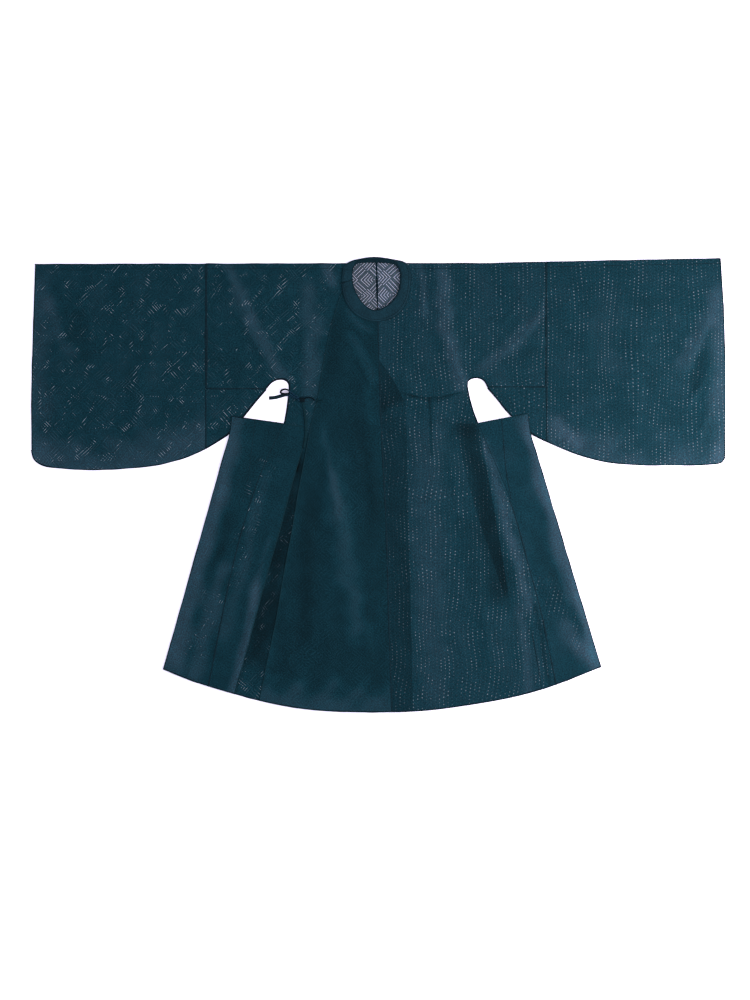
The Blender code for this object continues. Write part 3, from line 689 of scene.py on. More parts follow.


# Painted light and shade: where the cloth is painted paler, standing in for the floor's light coming through
# it or a lit fold, or darker, for shade in a valley, under further layers or over the tie beneath: three
# points of the middle of each place, running down, its half width and how much; one that spreads to one side
# only, as seen from above, is crisp along its line
Tone = namedtuple("Tone", "nodes x0 y0 x1 y1 x2 y2 half_width amount spread", defaults=("both",))
PAINTED_LIGHT_AND_SHADE = (
    Tone("sleeve_left", -1050, 552, -730, 588, -380, 455, 100, 0.62),
    Tone("sleeve_left", -965, -20, -985, 300, -975, 640, 70, 0.42),
    Tone("sleeve_left", -880, 130, -850, 200, -810, 270, 75, -0.20),
    Tone("sleeve_left", -940, 80, -909, 186, -850, 280, 24, 0.34),
    Tone("sleeve_right", 420, 455, 720, 590, 1090, 575, 110, 0.50),
    Tone("sleeve_right", 990, 60, 998, 330, 990, 650, 60, 0.55),
    Tone("sleeve_right", 990, 40, 930, 192, 850, 320, 36, 0.45),
    Tone("sleeve_right", 962, 170, 923, 288, 895, 390, 24, -0.22),
    Tone("sleeve_right", 500, 440, 530, 475, 600, 520, 34, 0.55),
    Tone("sleeve_right", 640, 60, 655, 180, 660, 330, 60, 0.12),
    Tone("front_left", -470, -90, -393, 77, -350, 200, 30, 0.45),
    Tone("front_left", -372, 130, -311, 254, -250, 350, 30, 0.50),
    Tone("front_left", -206, 30, -184, 190, -200, 420, 40, 0.40),
    Tone("front_left", -160, -30, -138, 26, -122, 76, 20, 0.70),
    Tone("front_left", -460, 240, -430, 290, -380, 300, 55, -0.15),
    Tone("front_left back_left", -218, 480, -266, 790, -366, 1200, 74, -0.60),
    Tone("front_left", -213, 462, -218, 500, -232, 600, 18, -0.50),
    Tone("front_right", 150, 376, 153, 450, 157, 560, 7, -0.24),
    Tone("front_right", 62, 366, 155, 391, 262, 362, 7, -0.30),
    Tone("front_right", 118, -20, 130, 60, 138, 160, 20, 0.36),
    Tone("front_right", 190, -30, 196, 160, 255, 400, 32, 0.60),
    Tone("front_right", 530, 70, 406, 213, 270, 325, 27, 0.42),
    Tone("front_right", 455, 230, 430, 262, 400, 290, 32, -0.16),
    Tone("front_right", 140, 380, 150, 760, 165, 1330, 66, 0.22),
    Tone("front_right", 262, 700, 290, 850, 330, 1000, 60, -0.14),
    Tone("front_right", -2, 262, 45, 328, 84, 402, 130, -0.40, "left"),
    Tone("front_right", 82, 310, 92, 760, 107, 1400, 150, -0.35, "left"),
    Tone("front_right", 279, 400, 322, 629, 388, 1010, 66, -0.40, "left"),
    Tone("front_right", 214, 400, 257, 610, 382, 1000, 60, -0.20, "right"),
    Tone("front_right side_panel_right", 300, 480, 345, 640, 392, 830, 22, 0.60),
    Tone("front_right side_panel_right", 385, 760, 415, 900, 440, 1010, 24, 0.50),
    Tone("front_right", 402, 940, 426, 1110, 444, 1320, 20, 0.40),
    Tone("front_right", 82, 372, 150, 384, 254, 365, 4.5, -0.38),
    Tone("front_right", 149, 376, 154, 440, 160, 570, 5.0, -0.16),
    Tone("overlap_outer", -92, 120, -60, 168, -5, 195, 18, 0.38),
    Tone("overlap_outer", -88, 190, -36, 266, 0, 360, 22, 0.32),
    Tone("overlap_outer", -30, 330, -24, 400, -8, 470, 20, 0.18),
    Tone("overlap_outer", -112, 120, -118, 230, -124, 330, 36, -0.09),
    Tone("overlap_outer", -158, 430, -132, 575, -100, 760, 17, 0.32),
    Tone("overlap_outer", -132, 520, -98, 790, -40, 1120, 52, 0.42),
    Tone("overlap_outer", -178, 600, -200, 860, -214, 1150, 34, -0.17),
    Tone("overlap_outer", -60, 420, -30, 560, 10, 760, 36, -0.14),
    Tone("overlap_outer", -420, 1270, -120, 1290, 160, 1305, 120, 0.62),
    Tone("overlap_outer", -246, 660, -282, 900, -340, 1230, 34, 0.24),
    Tone("side_panel_left", -300, 760, -335, 880, -362, 1010, 12, 0.30),
    Tone("side_panel_left", -340, 880, -366, 1040, -436, 1330, 24, 0.85),
    Tone("side_panel_left", -395, 380, -490, 780, -616, 1230, 60, 0.90),
    Tone("side_panel_left", -428, 820, -474, 1000, -534, 1230, 36, 0.46),
    Tone("side_panel_left", -410, 690, -481, 878, -545, 1070, 34, -0.30),
    Tone("side_panel_left", -310, 560, -372, 830, -450, 1120, 30, 0.28),
    Tone("side_panel_left", -270, 450, -330, 560, -352, 640, 40, -0.10),
    Tone("side_panel_right", 425, 380, 548, 790, 665, 1260, 62, 1.42),
    Tone("side_panel_right", 430, 730, 534, 960, 610, 1100, 26, -0.22),
    Tone("side_panel_right", 520, 1020, 575, 1090, 640, 1130, 40, 0.45),
    Tone("front_right", 446, 940, 470, 1060, 502, 1260, 10, -0.40),
    Tone("front_right", 157, 368, 159, 425, 160, 500, 12, -0.16),
    Tone("front_right", 204, 456, 247, 456, 293, 457, 46, -0.20, "left"),
)

# Where the lanes of the side panels glint, in the same way
GLINT_PATCHES = (
    Tone("side_panel_left", -300, 540, -350, 690, -415, 950, 36, 1.0),
    Tone("side_panel_left", -444, 920, -490, 1016, -530, 1140, 42, 1.0),
    Tone("side_panel_right", 460, 880, 540, 1020, 630, 1160, 44, 0.9),
)


def painted_shading_at(node, points, table=PAINTED_LIGHT_AND_SHADE):
    """How much paler, as painted light, or darker, as painted shade, a piece is at each point, as a share, or
    how much it glints.
    """
    total = np.zeros(len(points))
    for number, tone in enumerate(table):
        if node not in tone.nodes.split():
            continue
        drift = tone.half_width * TONE_DRIFT
        strays = 0 if is_fine(tone) else unevenness(points, TONE_SEED + number, drift, TONE_WAVE)
        distance, along, side = nearest_on(line_of(tone), points + strays)
        across = distance / tone.half_width
        ends = smooth_step(along / TONE_FADE) * smooth_step((1 - along) / TONE_FADE)
        if tone.spread == "both":
            share = (1 - across ** 2).clip(0) ** 2
        else:
            beyond = side < 0 if tone.spread == "left" else side > 0
            share = np.where(beyond, 0.0, (1 - across ** 4).clip(0) ** 2)
        total += tone.amount * share * ends
    return total


def line_of(row, step=LINE_CELL):
    """The curve through a crease's or a tone's three points."""
    return smooth_line([(row.x0, row.y0), (row.x1, row.y1), (row.x2, row.y2)], step)


def is_fine(tone):
    return tone.spread != "both" or tone.half_width < FINE_TONE


def fine_points(node, outline):
    """Extra points of a sheet, along its crisp and its narrow tones."""
    crisp_edge, clearance = 1.2, 3.0
    rows = [np.empty((0, 2))]
    for tone in PAINTED_LIGHT_AND_SHADE:
        if node in tone.nodes.split() and is_fine(tone):
            line = line_of(tone, FINE_LINE_CELL)
            if tone.spread == "both":
                rows += [offset_line(line, tone.half_width * k) for k in (-1, -0.5, 0, 0.5, 1)]
            else:
                rows += [offset_line(line, crisp_edge * k) for k in (-1, 1)]
    return clear_inside(outline, np.vstack(rows), clearance)


def smooth_step(t):
    """A smooth rise from 0 to 1, level at both ends."""
    t = np.clip(t, 0, 1)
    return t * t * (3 - 2 * t)


def smooth_line(points, step=None, count=None):
    """The points of a smooth open curve through the given ones: so far apart, or so many to each span."""
    points = [np.array(p, float) for p in points]
    knots = [2 * points[0] - points[1]] + points + [2 * points[-1] - points[-2]]
    made = []
    for before, start, end, after in zip(knots, knots[1:], knots[2:], knots[3:]):
        number = count or max(1, math.ceil(np.linalg.norm(end - start) / step))
        made += through_points(before, start, end, after, number)
    return np.array(made + [points[-1]])


def nearest_on(line, points):
    """How far each point is from a line, how far along it from 0 to 1, and on which side."""
    best = np.full(len(points), 1e9)
    along, side = np.zeros(len(points)), np.ones(len(points))
    for i, (a, b) in enumerate(zip(line, line[1:])):
        run = b - a
        off = points - a
        t = ((off @ run) / (run @ run)).clip(0, 1)
        gap = np.linalg.norm(off - t[:, None] * run, axis=1)
        closer = gap < best
        best = np.where(closer, gap, best)
        along = np.where(closer, (i + t) / (len(line) - 1), along)
        side = np.where(closer, np.sign(off[:, 1] * run[0] - off[:, 0] * run[1]), side)
    return best, along, side


def unevenness(points, seed, amount, long=220.0):
    """A soft drift over the cloth, in two directions, from a few crossed waves."""
    random = np.random.default_rng(seed)
    drift = np.zeros((len(points), 2))
    waves, strength = 5, 1.6    # their number, and how strong they are together next to one
    for _ in range(waves):
        angle = random.uniform(0, math.tau)
        wave = random.uniform(0.6, 1.5) * long
        phase = random.uniform(0, math.tau, 2)
        turns = (points[:, 0] * math.cos(angle) + points[:, 1] * math.sin(angle)) * math.tau / wave
        drift += np.sin(turns[:, None] + phase) * amount / strength
    return drift


# Cloth pieces: the weave's turn and shift, the seeds of its drift above and below, whether it is mirrored,
# what the piece rests on, its share of the creases, how much paler it is painted by painted light or darker by
# painted shade, above and in its lower thickness, and its fringes of wider lanes: chains or rows of dots,
# their turn in degrees and their spacing
Cloth = namedtuple(
    "Cloth", "node grain shift_x shift_y seed seed_below mirrored rests_on crease_share tone tone_below "
    "fringes fringe_turn fringe_space", defaults=(1.0, 0.0, 0.0, "", 0, 0))
CLOTHS = (
    Cloth("back_left", 0, 0, 0, 1, 1, True, (), 0.3, 0.15),
    Cloth("back_right", 0, 0, 0, 2, 2, True, (), 0.3, 0.7),
    Cloth("front_left", 0, 0, 10.9, 3, 103, False, ("back_left",), 1.0, 0.0, 0.0, "chains", 72, 60),
    Cloth("overlap_inner", 0, 5, 20, 4, 4, False, ("back_right",), 0.6, -0.3),
    Cloth("front_right", 0, 0, 0, 2, 2, False, ("back_right",), 1.0, 0.05, 0.0, "dots", 86, 70),
    Cloth("overlap_outer", 0, 21, 10, 6, 6, False, ("front_left",), 1.0, -0.23),
    Cloth("side_panel_left", 15, 0, 11, 7, 107, False, ("back_left",), 1.0, -0.08, 0.0, "chains", 60, 40),
    Cloth("side_panel_right", -15, 0, 21.8, 8, 8, False, ("back_right",), 1.0, 0.0, 0.0, "dots", 70, 90),
    Cloth("sleeve_left", 0, 4, 10.9, 9, 109, False, (), 1.0, 0.02, 0.2, "chains", 55, 62),
    Cloth("sleeve_right", 0, 0, 0, 10, 10, False, (), 1.0, 0.0, 0.5, "dots", 88, 83),
    Cloth("underarm_left", 0, 2, 10.9, 11, 111, False, (), 1.0, 0.02, 0.2, "chains", 40, 60),
    Cloth("underarm_right", 0, 0, 0, 12, 12, False, (), 1.0, 0.0, 0.6, "dots", 70, 50),
)

# How far and over what length the weave, the dye and the fringes stray
WEAVE_DRIFT, WEAVE_WAVE = 4.0, 220.0
DYE_SEED, DYE_DRIFT, DYE_WAVE = 20, 0.035, 110.0
FRINGE_DRIFTS = ((30, 0.12, 150.0), (60, 0.15, 55.0))   # with what is added to the piece's own seed
DOT_MIDDLE, DOT_SWING = 0.17, 0.11                      # how near rows of dots stay to a fringe
GLINT_BY_TONE, LEAST_GLINT, MOST_GLINT = 1.5, 0.3, 1.2  # paler cloth glints more


def weave_place(cloth, points, lower):
    """The weave's own coordinates at each point, in metres."""
    drifted = points + unevenness(points, cloth.seed_below if lower else cloth.seed, WEAVE_DRIFT, WEAVE_WAVE)
    angle = math.radians(cloth.grain)
    c, s = math.cos(angle), math.sin(angle)
    turned = np.column_stack((drifted[:, 0] * c - drifted[:, 1] * s, drifted[:, 0] * s + drifted[:, 1] * c))
    turned = turned + (cloth.shift_x, cloth.shift_y)
    if cloth.mirrored != lower:
        turned = turned * (1, -1)
    return turned * MM


def fringe_at(cloth, points):
    """Where each point lies between the fringes of wider lanes: whole numbers are on one."""
    if not cloth.fringes:
        return np.zeros(len(points))
    angle = math.radians(cloth.fringe_turn)
    broad, fine = (unevenness(points, cloth.seed + k, drift, wave)[:, 0] for k, drift, wave in FRINGE_DRIFTS)
    turns = (points[:, 0] * math.sin(angle) + points[:, 1] * math.cos(angle)) / cloth.fringe_space
    turns = turns + (broad + fine)
    return turns if cloth.fringes == "chains" else DOT_MIDDLE - DOT_SWING * np.cos(math.tau * turns)


Shell = namedtuple("Shell", "piece sheets trims")
shells = {}


def glints_of(cloth, points, tones):
    """How strongly the crossing lanes glint: not on pieces without fringes, on side panels in patches."""
    if not cloth.fringes:
        return np.zeros(len(tones))
    if cloth.node.startswith("side_panel"):
        return painted_shading_at(cloth.node, points, GLINT_PATCHES).clip(0, 1)
    return (1 + GLINT_BY_TONE * tones).clip(LEAST_GLINT, MOST_GLINT)


class Sheet:
    """One thickness of a cloth piece, spread over a side of its solid."""

    def __init__(self, cloth, side, lower, layer_share):
        self.outline = smooth_loop(side.outline)
        points = np.vstack((self.outline, even_points(self.outline), fine_points(cloth.node, self.outline)))
        edge_count = len(self.outline)
        flat, _, triangles, origins, _, _ = delaunay_2d_cdt(
            [Vector(p) for p in points], [], [list(range(edge_count))], 1, 1e-6)
        self.points = np.array([tuple(p) for p in flat])
        self.triangles = np.array(triangles)
        at_edge = {
            source: i for i, sources in enumerate(origins) for source in sources if source < edge_count}
        self.rim = np.array([at_edge[i] for i in range(edge_count)])
        heights = height_on(side.tree, self.points, side.height)
        fixed = np.zeros(len(heights), bool)
        fixed[self.rim] = True
        heights = relax(heights, self.triangles, fixed)
        above = LOW_IN_WALL if not side.looks_up else LOW_IN_WALL - CAD_WALL
        self.heights = heights + above + crease_height(self.points) * layer_share
        self.weave = weave_place(cloth, self.points, lower)
        self.beneath = weave_place(cloth, self.points, not lower)
        # painted light and shade of the piece, plus a random drift of the dye
        self.tones = painted_shading_at(cloth.node, self.points) + (cloth.tone_below if lower else cloth.tone)
        self.tones += unevenness(self.points, cloth.seed + DYE_SEED, DYE_DRIFT, DYE_WAVE)[:, 0]
        self.fringes = fringe_at(cloth, self.points)
        self.glints = glints_of(cloth, self.points, self.tones)
        self.tree = BVHTree.FromPolygons(
            np.column_stack((self.points, self.heights)).tolist(), self.triangles.tolist())

    def stretch_numbers(self, start, end):
        """Which outline points lie from the one nearest to start to that nearest to end, the shorter way."""
        i, j = (int(((self.outline - p) ** 2).sum(1).argmin()) for p in (start, end))
        count = len(self.outline)
        ways = [
            [(i + k) % count for k in range((j - i) % count + 1)],
            [(i - k) % count for k in range((i - j) % count + 1)],
        ]
        return min(ways, key=lambda way: np.linalg.norm(np.diff(self.outline[way], axis=0), axis=1).sum())

    def stretch(self, start, end):
        return self.outline[self.stretch_numbers(start, end)]

    def heights_at(self, points):
        return height_on(self.tree, points, self.heights.mean())


def make_cloth(cloth):
    """The thin shell of one piece, or of its two thicknesses joined where the cloth turns back."""
    sides = sides_of(cloth.node)
    top = max((s for s in sides if s.looks_up), key=lambda s: s.height)
    sheets = [Sheet(cloth, top, False, cloth.crease_share)]
    if cloth.node in DOUBLED:
        bottom = min((s for s in sides if not s.looks_up), key=lambda s: s.height)
        crease_share = 0.5 if cloth.node.startswith("side_panel") else 0.3
        sheets.append(Sheet(cloth, bottom, True, crease_share))
    form = bmesh.new()
    maps = [form.loops.layers.uv.new(name) for name in ("weave", "beneath")]
    rims = []
    for sheet in sheets:
        corners = to_frame(np.column_stack((sheet.points, sheet.heights)))
        made = [form.verts.new(c) for c in corners]
        for triangle in sheet.triangles:
            face = form.faces.new([made[i] for i in triangle])
            for loop, i in zip(face.loops, triangle):
                loop[maps[0]].uv = sheet.weave[i]
                loop[maps[1]].uv = sheet.beneath[i]
        rims.append([made[i] for i in sheet.rim])
    if len(sheets) == 2:
        join_folds(cloth, form, maps, sheets, rims)
    finish_shell(cloth, form, sheets)


# Where the cloth of a doubled piece turns back, from one place to another along its edge
Fold = namedtuple("Fold", "node x0 y0 x1 y1")
FOLDS = (
    Fold("sleeve_left", -975, 2, -487, 1), Fold("sleeve_left", -487, 528, -985, 532),
    Fold("sleeve_right", 485, -4, 982, -14), Fold("sleeve_right", 485, 508, 994, 553),
    Fold("underarm_left", -316, 360, -487, 528), Fold("underarm_right", 318, 355, 485, 508),
    Fold("side_panel_left", -413, 435, -609, 1159), Fold("side_panel_right", 432, 428, 641, 1152),
)
DOUBLED = {fold.node for fold in FOLDS}


def join_folds(cloth, form, maps, sheets, rims):
    """Closes the two thicknesses along the edges where the cloth turns back, with a zip of triangles."""
    upper, lower = sheets
    for fold in FOLDS:
        if fold.node != cloth.node:
            continue
        ends = (fold.x0, fold.y0), (fold.x1, fold.y1)
        high, low = upper.stretch_numbers(*ends), lower.stretch_numbers(*ends)
        i = j = 0
        while i < len(low) - 1 or j < len(high) - 1:
            climbs = i == len(low) - 1 or j < len(high) - 1 and (
                gap_between(upper, high[j + 1], lower, low[i])
                < gap_between(upper, high[j], lower, low[i + 1]))
            nearest = [upper.rim[high[j]]] * 3
            if climbs:
                corners = rims[1][low[i]], rims[0][high[j + 1]], rims[0][high[j]]
                nearest[1] = upper.rim[high[j + 1]]
                j += 1
            else:
                corners = rims[1][low[i]], rims[1][low[i + 1]], rims[0][high[j]]
                i += 1
            for loop, n in zip(form.faces.new(corners).loops, nearest):
                loop[maps[0]].uv = upper.weave[n]
                loop[maps[1]].uv = upper.beneath[n]


def gap_between(upper, j, lower, i):
    return np.linalg.norm(upper.outline[j] - lower.outline[i])


def finish_shell(cloth, form, sheets):
    bmesh.ops.recalc_face_normals(form, faces=form.faces)
    half_gauze = right_gauze if cloth.fringes == "dots" else left_gauze
    gauze = back_gauze if cloth.node.startswith("back") else half_gauze
    piece = make_object("gauze_" + cloth.node, form, gauze)
    for name, numbers in (("tone", "tones"), ("fringe", "fringes"), ("glints", "glints")):
        values = np.concatenate([getattr(sheet, numbers) for sheet in sheets])
        piece.data.attributes.new(name, "FLOAT", "POINT").data.foreach_set("value", values.astype(np.float32))
    wall = piece.modifiers.new("wall", "SOLIDIFY")
    wall.thickness = GAUZE * MM
    wall.offset = 0
    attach(piece, "root")
    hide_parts(cloth.node)
    shells[cloth.node] = Shell(piece, sheets, [])


def make_object(name, form, material):
    mesh = bpy.data.meshes.new(name)
    form.to_mesh(mesh)
    form.free()
    mesh.materials.append(material)
    piece = bpy.data.objects.new(name, mesh)
    bpy.context.scene.collection.objects.link(piece)
    return piece


def declare_cloths():
    """Works out each cloth piece's area, width and length, what it rests on and its hems and seams, and passes
    them nowhere.
    """
    for cloth in CLOTHS:
        shell = shells[cloth.node]
        area = sum(area_of(sheet.outline) for sheet in shell.sheets) * MM * MM
        low, high = shell.sheets[0].outline.min(0), shell.sheets[0].outline.max(0)
        width, length = (high - low) * MM
        if len(shell.sheets) == 2:
            width = area / length
        ["gauze_" + other for other in cloth.rests_on]
        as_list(shell.trims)


def area_of(outline):
    ends = np.roll(outline, -1, axis=0)
    return abs((outline[:, 0] * ends[:, 1] - ends[:, 0] * outline[:, 1]).sum()) / 2


# Flat tubes: hems, seams, the collar's edges and the ties

Cover = namedtuple("Cover", "material first last whole")


def lengths_along(line):
    """How far along a line each of its points is."""
    return np.concatenate(([0], np.cumsum(np.linalg.norm(np.diff(line, axis=0), axis=1))))


def join_rings(form, rings, place_of):
    """Closes rings of corners into a tube; place_of gives the weave's place at a row and corner of it."""
    weave = form.loops.layers.uv["weave"]
    ring = len(rings[0])
    for i, (here, following) in enumerate(zip(rings, rings[1:])):
        for k in range(ring):
            face = form.faces.new((here[k], here[(k + 1) % ring], following[(k + 1) % ring], following[k]))
            face.smooth = True
            for loop, (row, turn) in zip(face.loops, ((i, k), (i, k + 1), (i + 1, k + 1), (i + 1, k))):
                loop[weave].uv = place_of(row, turn)
    form.faces.new(rings[0])
    form.faces.new(rings[-1])
    bmesh.ops.recalc_face_normals(form, faces=form.faces)


def flat_tube(name, line, heights, widths, thickness, material, ring=8, covers=()):
    """A closed tube with a flat oval section along a line, with a width at each of its points.

    A cover gives a stretch another material, all round or on all but the faces that wrap its long edges.
    """
    widths = np.broadcast_to(widths, len(line))
    form = bmesh.new()
    form.loops.layers.uv.new("weave")
    across = -sideways(line)
    along = lengths_along(line)
    rings = []
    for point, side, height, width in zip(line, across, heights, widths):
        made = []
        for k in range(ring):
            angle = math.tau * (k + 0.5) / ring
            out = oval(math.cos(angle)) * width / 2
            up = oval(math.sin(angle)) * thickness / 2
            corner = to_frame([(*(point + side * out), height + up)])[0]
            made.append(form.verts.new(corner))
        rings.append(made)
    join_rings(form, rings, lambda row, turn: (along[row] * MM, widths[row] * 2 * MM * turn / ring))
    piece = make_object(name, form, material)
    edges = {0, ring // 2 - 1, ring // 2, ring - 1}
    for slot, cover in enumerate(covers, 1):
        piece.data.materials.append(cover.material)
        for number, face in enumerate(piece.data.polygons):
            reached = number // ring / (len(line) - 1)
            if len(face.vertices) == 4 and cover.first <= reached < cover.last and (
                    cover.whole or number % ring not in edges):
                face.material_index = slot
    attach(piece, "root")
    return piece


def oval(value):
    """Flattens a circle's coordinate towards a square with round corners."""
    return math.copysign(abs(value) ** 0.7, value)


def sideways(line):
    """The direction to the left of a line at each point, for someone who looks down and walks along it."""
    ahead = np.gradient(line, axis=0)
    ahead /= np.linalg.norm(ahead, axis=1)[:, None]
    return np.column_stack((ahead[:, 1], -ahead[:, 0]))


def offset_line(line, distance):
    return line + sideways(line) * distance


# A hem runs along a piece's edge, from the edge point nearest the first place to that nearest the second
Hem = namedtuple("Hem", "name node sheet x0 y0 x1 y1 width")
HEMS = (
    Hem("skirt_outer_left", "overlap_outer", 0, 44, 1281, -336, 1245, 4.5),
    Hem("skirt_outer_right", "front_right", 0, 44, 1281, 512, 1203, 4.5),
    Hem("skirt_inner_left", "front_left", 0, 44, 1281, -481, 1207, 4.5),
    Hem("skirt_inner_right", "overlap_inner", 0, 44, 1281, 110, 1278, 4.5),
    Hem("skirt_back_left", "back_left", 0, 44, 1281, -430, 1222, 4.5),
    Hem("skirt_back_right", "back_right", 0, 44, 1281, 452, 1220, 4.5),
    Hem("side_back_left", "back_left", 0, -265, 456, -430, 1222, 3.5),
    Hem("side_back_right", "back_right", 0, 290, 455, 452, 1220, 3.5),
    Hem("flap_edge", "overlap_outer", 0, -100, 82, -336, 1245, 2.6),
    Hem("flap_edge_inner", "overlap_inner", 0, 6, 232, 110, 1278, 3.5),
    Hem("slope_inner", "front_left", 0, -82, 2, 6, 232, 3.0),
    Hem("panel_left_hem", "side_panel_left", 0, -609, 1159, -404, 1229, 4.5),
    Hem("panel_left_hem_low", "side_panel_left", 1, -609, 1159, -481, 1207, 4.5),
    Hem("panel_left_free", "side_panel_left", 0, -199, 467, -404, 1229, 3.5),
    Hem("panel_left_top", "side_panel_left", 0, -199, 467, -268, 459, 3.5),
    Hem("panel_left_opening", "side_panel_left", 0, -268, 459, -413, 435, 3.5),
    Hem("panel_right_hem", "side_panel_right", 0, 641, 1152, 512, 1203, 4.5),
    Hem("panel_right_hem_low", "side_panel_right", 1, 641, 1152, 424, 1229, 4.5),
    Hem("panel_right_free", "side_panel_right", 1, 218, 465, 424, 1229, 3.5),
    Hem("panel_right_top", "side_panel_right", 0, 290, 455, 432, 428, 3.5),
    Hem("cuff_left", "sleeve_left", 0, -975, 2, -985, 532, 4.0),
    Hem("cuff_left_low", "sleeve_left", 1, -975, 2, -985, 532, 4.0),
    Hem("cuff_right", "sleeve_right", 0, 982, -14, 994, 553, 4.0),
    Hem("cuff_right_low", "sleeve_right", 1, 982, -14, 994, 553, 4.0),
    Hem("armpit_left", "front_left", 0, -265, 456, -313, 357, 6.0),
    Hem("armpit_left_low", "back_left", 0, -265, 456, -313, 357, 3.5),
    Hem("armpit_right", "front_right", 0, 290, 455, 315, 352, 5.0),
    Hem("armpit_right_low", "back_right", 0, 290, 455, 315, 352, 3.5),
)

# A seam runs along the edge of one piece, and reaches over the edges of both that it joins
SEAMS = (
    Hem("sleeve_left", "front_left", 0, -487, 1, -487, 357, 9.5),
    Hem("sleeve_left_back", "back_left", 0, -487, 1, -487, 357, 7.0),
    Hem("sleeve_left_gusset", "sleeve_left", 0, -487, 357, -487, 528, 6.0),
    Hem("sleeve_right", "front_right", 0, 485, -4, 485, 352, 9.0),
    Hem("sleeve_right_back", "back_right", 0, 485, -4, 485, 352, 7.0),
    Hem("sleeve_right_gusset", "sleeve_right", 0, 485, 352, 485, 508, 6.0),
    Hem("gusset_left", "underarm_left", 0, -313, 357, -487, 357, 5.5),
    Hem("gusset_left_back", "underarm_left", 1, -313, 357, -487, 357, 5.5),
    Hem("gusset_right", "underarm_right", 0, 315, 352, 485, 352, 5.5),
    Hem("gusset_right_back", "underarm_right", 1, 315, 352, 485, 352, 5.5),
    Hem("centre_back", "back_left", 0, 0, -12, 44, 1281, 5.5),
    Hem("centre_front", "overlap_outer", 0, 4, 152, 44, 1281, 5.0),
    Hem("centre_inner", "front_left", 0, 6, 234, 44, 1281, 5.0),
    Hem("shoulder_left", "front_left", 0, -487, 1, -82, 0, 3.2),
    Hem("shoulder_right", "front_right", 0, 82, 0, 485, -4, 3.2),
    Hem("sleeve_left_top", "sleeve_left", 0, -975, 2, -487, 1, 3.0),
    Hem("sleeve_right_top", "sleeve_right", 0, 485, -4, 982, -14, 3.0),
    Hem("sleeve_left_bottom", "sleeve_left", 0, -487, 528, -985, 532, 4.0),
    Hem("sleeve_right_bottom", "sleeve_right", 0, 485, 508, 994, 553, 4.0),
    Hem("gusset_left_edge", "underarm_left", 0, -316, 360, -487, 528, 6.0),
    Hem("gusset_right_edge", "underarm_right", 0, 318, 355, 485, 508, 6.0),
    Hem("panel_left_fold", "side_panel_left", 0, -413, 435, -609, 1159, 3.0),
    Hem("panel_right_fold", "side_panel_right", 0, 432, 428, 641, 1152, 3.0),
    Hem("panel_right_join", "side_panel_right", 0, 384, 675, 512, 1203, 5.5),
)
DEEP_SEAMS = (
    "centre_back", "armpit_left", "armpit_left_low", "armpit_right", "gusset_left_edge", "gusset_right_edge",
    "panel_left_opening")
PALE_HEMS = (
    "flap_edge", "panel_left_top", "panel_left_free", "panel_right_top", "panel_right_free", "slope_inner",
    "flap_edge_inner", "side_back_left", "side_back_right", "panel_left_hem_low", "panel_right_hem_low")

# Depths of hems, seams and lines of stitching; how far each lies inside the edge, a hem's by its own edge
HEM_DEPTH, SEAM_DEPTH, LINE_DEPTH = 0.8, 0.7, 0.6
PAST_EDGE, SEAM_INSIDE, FOLD_LINE_INSIDE = 0.3, 0.3, 14.0

# A line of stitching follows each top edge below it
FOLD_LINES = (
    Hem("shoulder_left", "front_left", 0, -487, 1, -100, 0, 1.8),
    Hem("shoulder_right", "front_right", 0, 100, 0, 485, -4, 1.8),
    Hem("sleeve_left", "sleeve_left", 0, -975, 2, -487, 1, 1.8),
    Hem("sleeve_right", "sleeve_right", 0, 485, -4, 982, -14, 1.8),
)


# A line of stitching across a piece: four points of it, its width, and the share of that at its first end
class Line(namedtuple("Line", "name node x0 y0 x1 y1 x2 y2 x3 y3 width start", defaults=(1.0,))):
    def taper(self, count):
        return self.start + (1 - self.start) * smooth_step(np.linspace(0, 2, count))


LINES = (
    Line("panel_left_join", "side_panel_left", -268, 459, -338, 618, -400, 820, -480, 1203, 5.0, 0.25),
    Line("panel_left_inner", "side_panel_left", -347, 452, -353, 500, -360, 560, -368, 630, 1.3),
    Line("panel_right_inner", "side_panel_right", 357, 446, 363, 520, 371, 600, 384, 672, 3.0),
    Line("panel_right_edge", "side_panel_right", 291, 457, 322, 530, 352, 600, 384, 675, 1.6),
    Line("panel_right_fold", "side_panel_right", 418, 960, 440, 1040, 456, 1120, 472, 1215, 2.4, 0.4),
)


def uneven_widths(points, width, seed):
    """The width of a hem or seam along its points, narrower here and there; its name's length is the seed."""
    mean, drift, wave, least = 0.8, 0.2, 90.0, 0.35
    return width * (mean + unevenness(points, seed, drift, wave)[:, 0]).clip(least)


def sew_on(name, node, line, heights, widths, thickness, gauze):
    """Lays a hem, a seam or a line of stitching on a cloth piece, and notes its stitches."""
    piece = flat_tube(name, line, heights, widths, thickness, gauze)
    note_stitches(node, line, heights + thickness / 2)
    shells[node].trims.append(piece)


def make_line(line):
    sheet = shells[line.node].sheets[0]
    ends = [(line.x0, line.y0), (line.x1, line.y1), (line.x2, line.y2), (line.x3, line.y3)]
    points = smooth_line(ends, EDGE_CELL)
    heights = sheet.heights_at(points) + GAUZE / 2
    widths = uneven_widths(points, line.width, len(line.name)) * line.taper(len(points))
    sew_on("seam_" + line.name, line.node, points, heights, widths, LINE_DEPTH, seam_gauze)


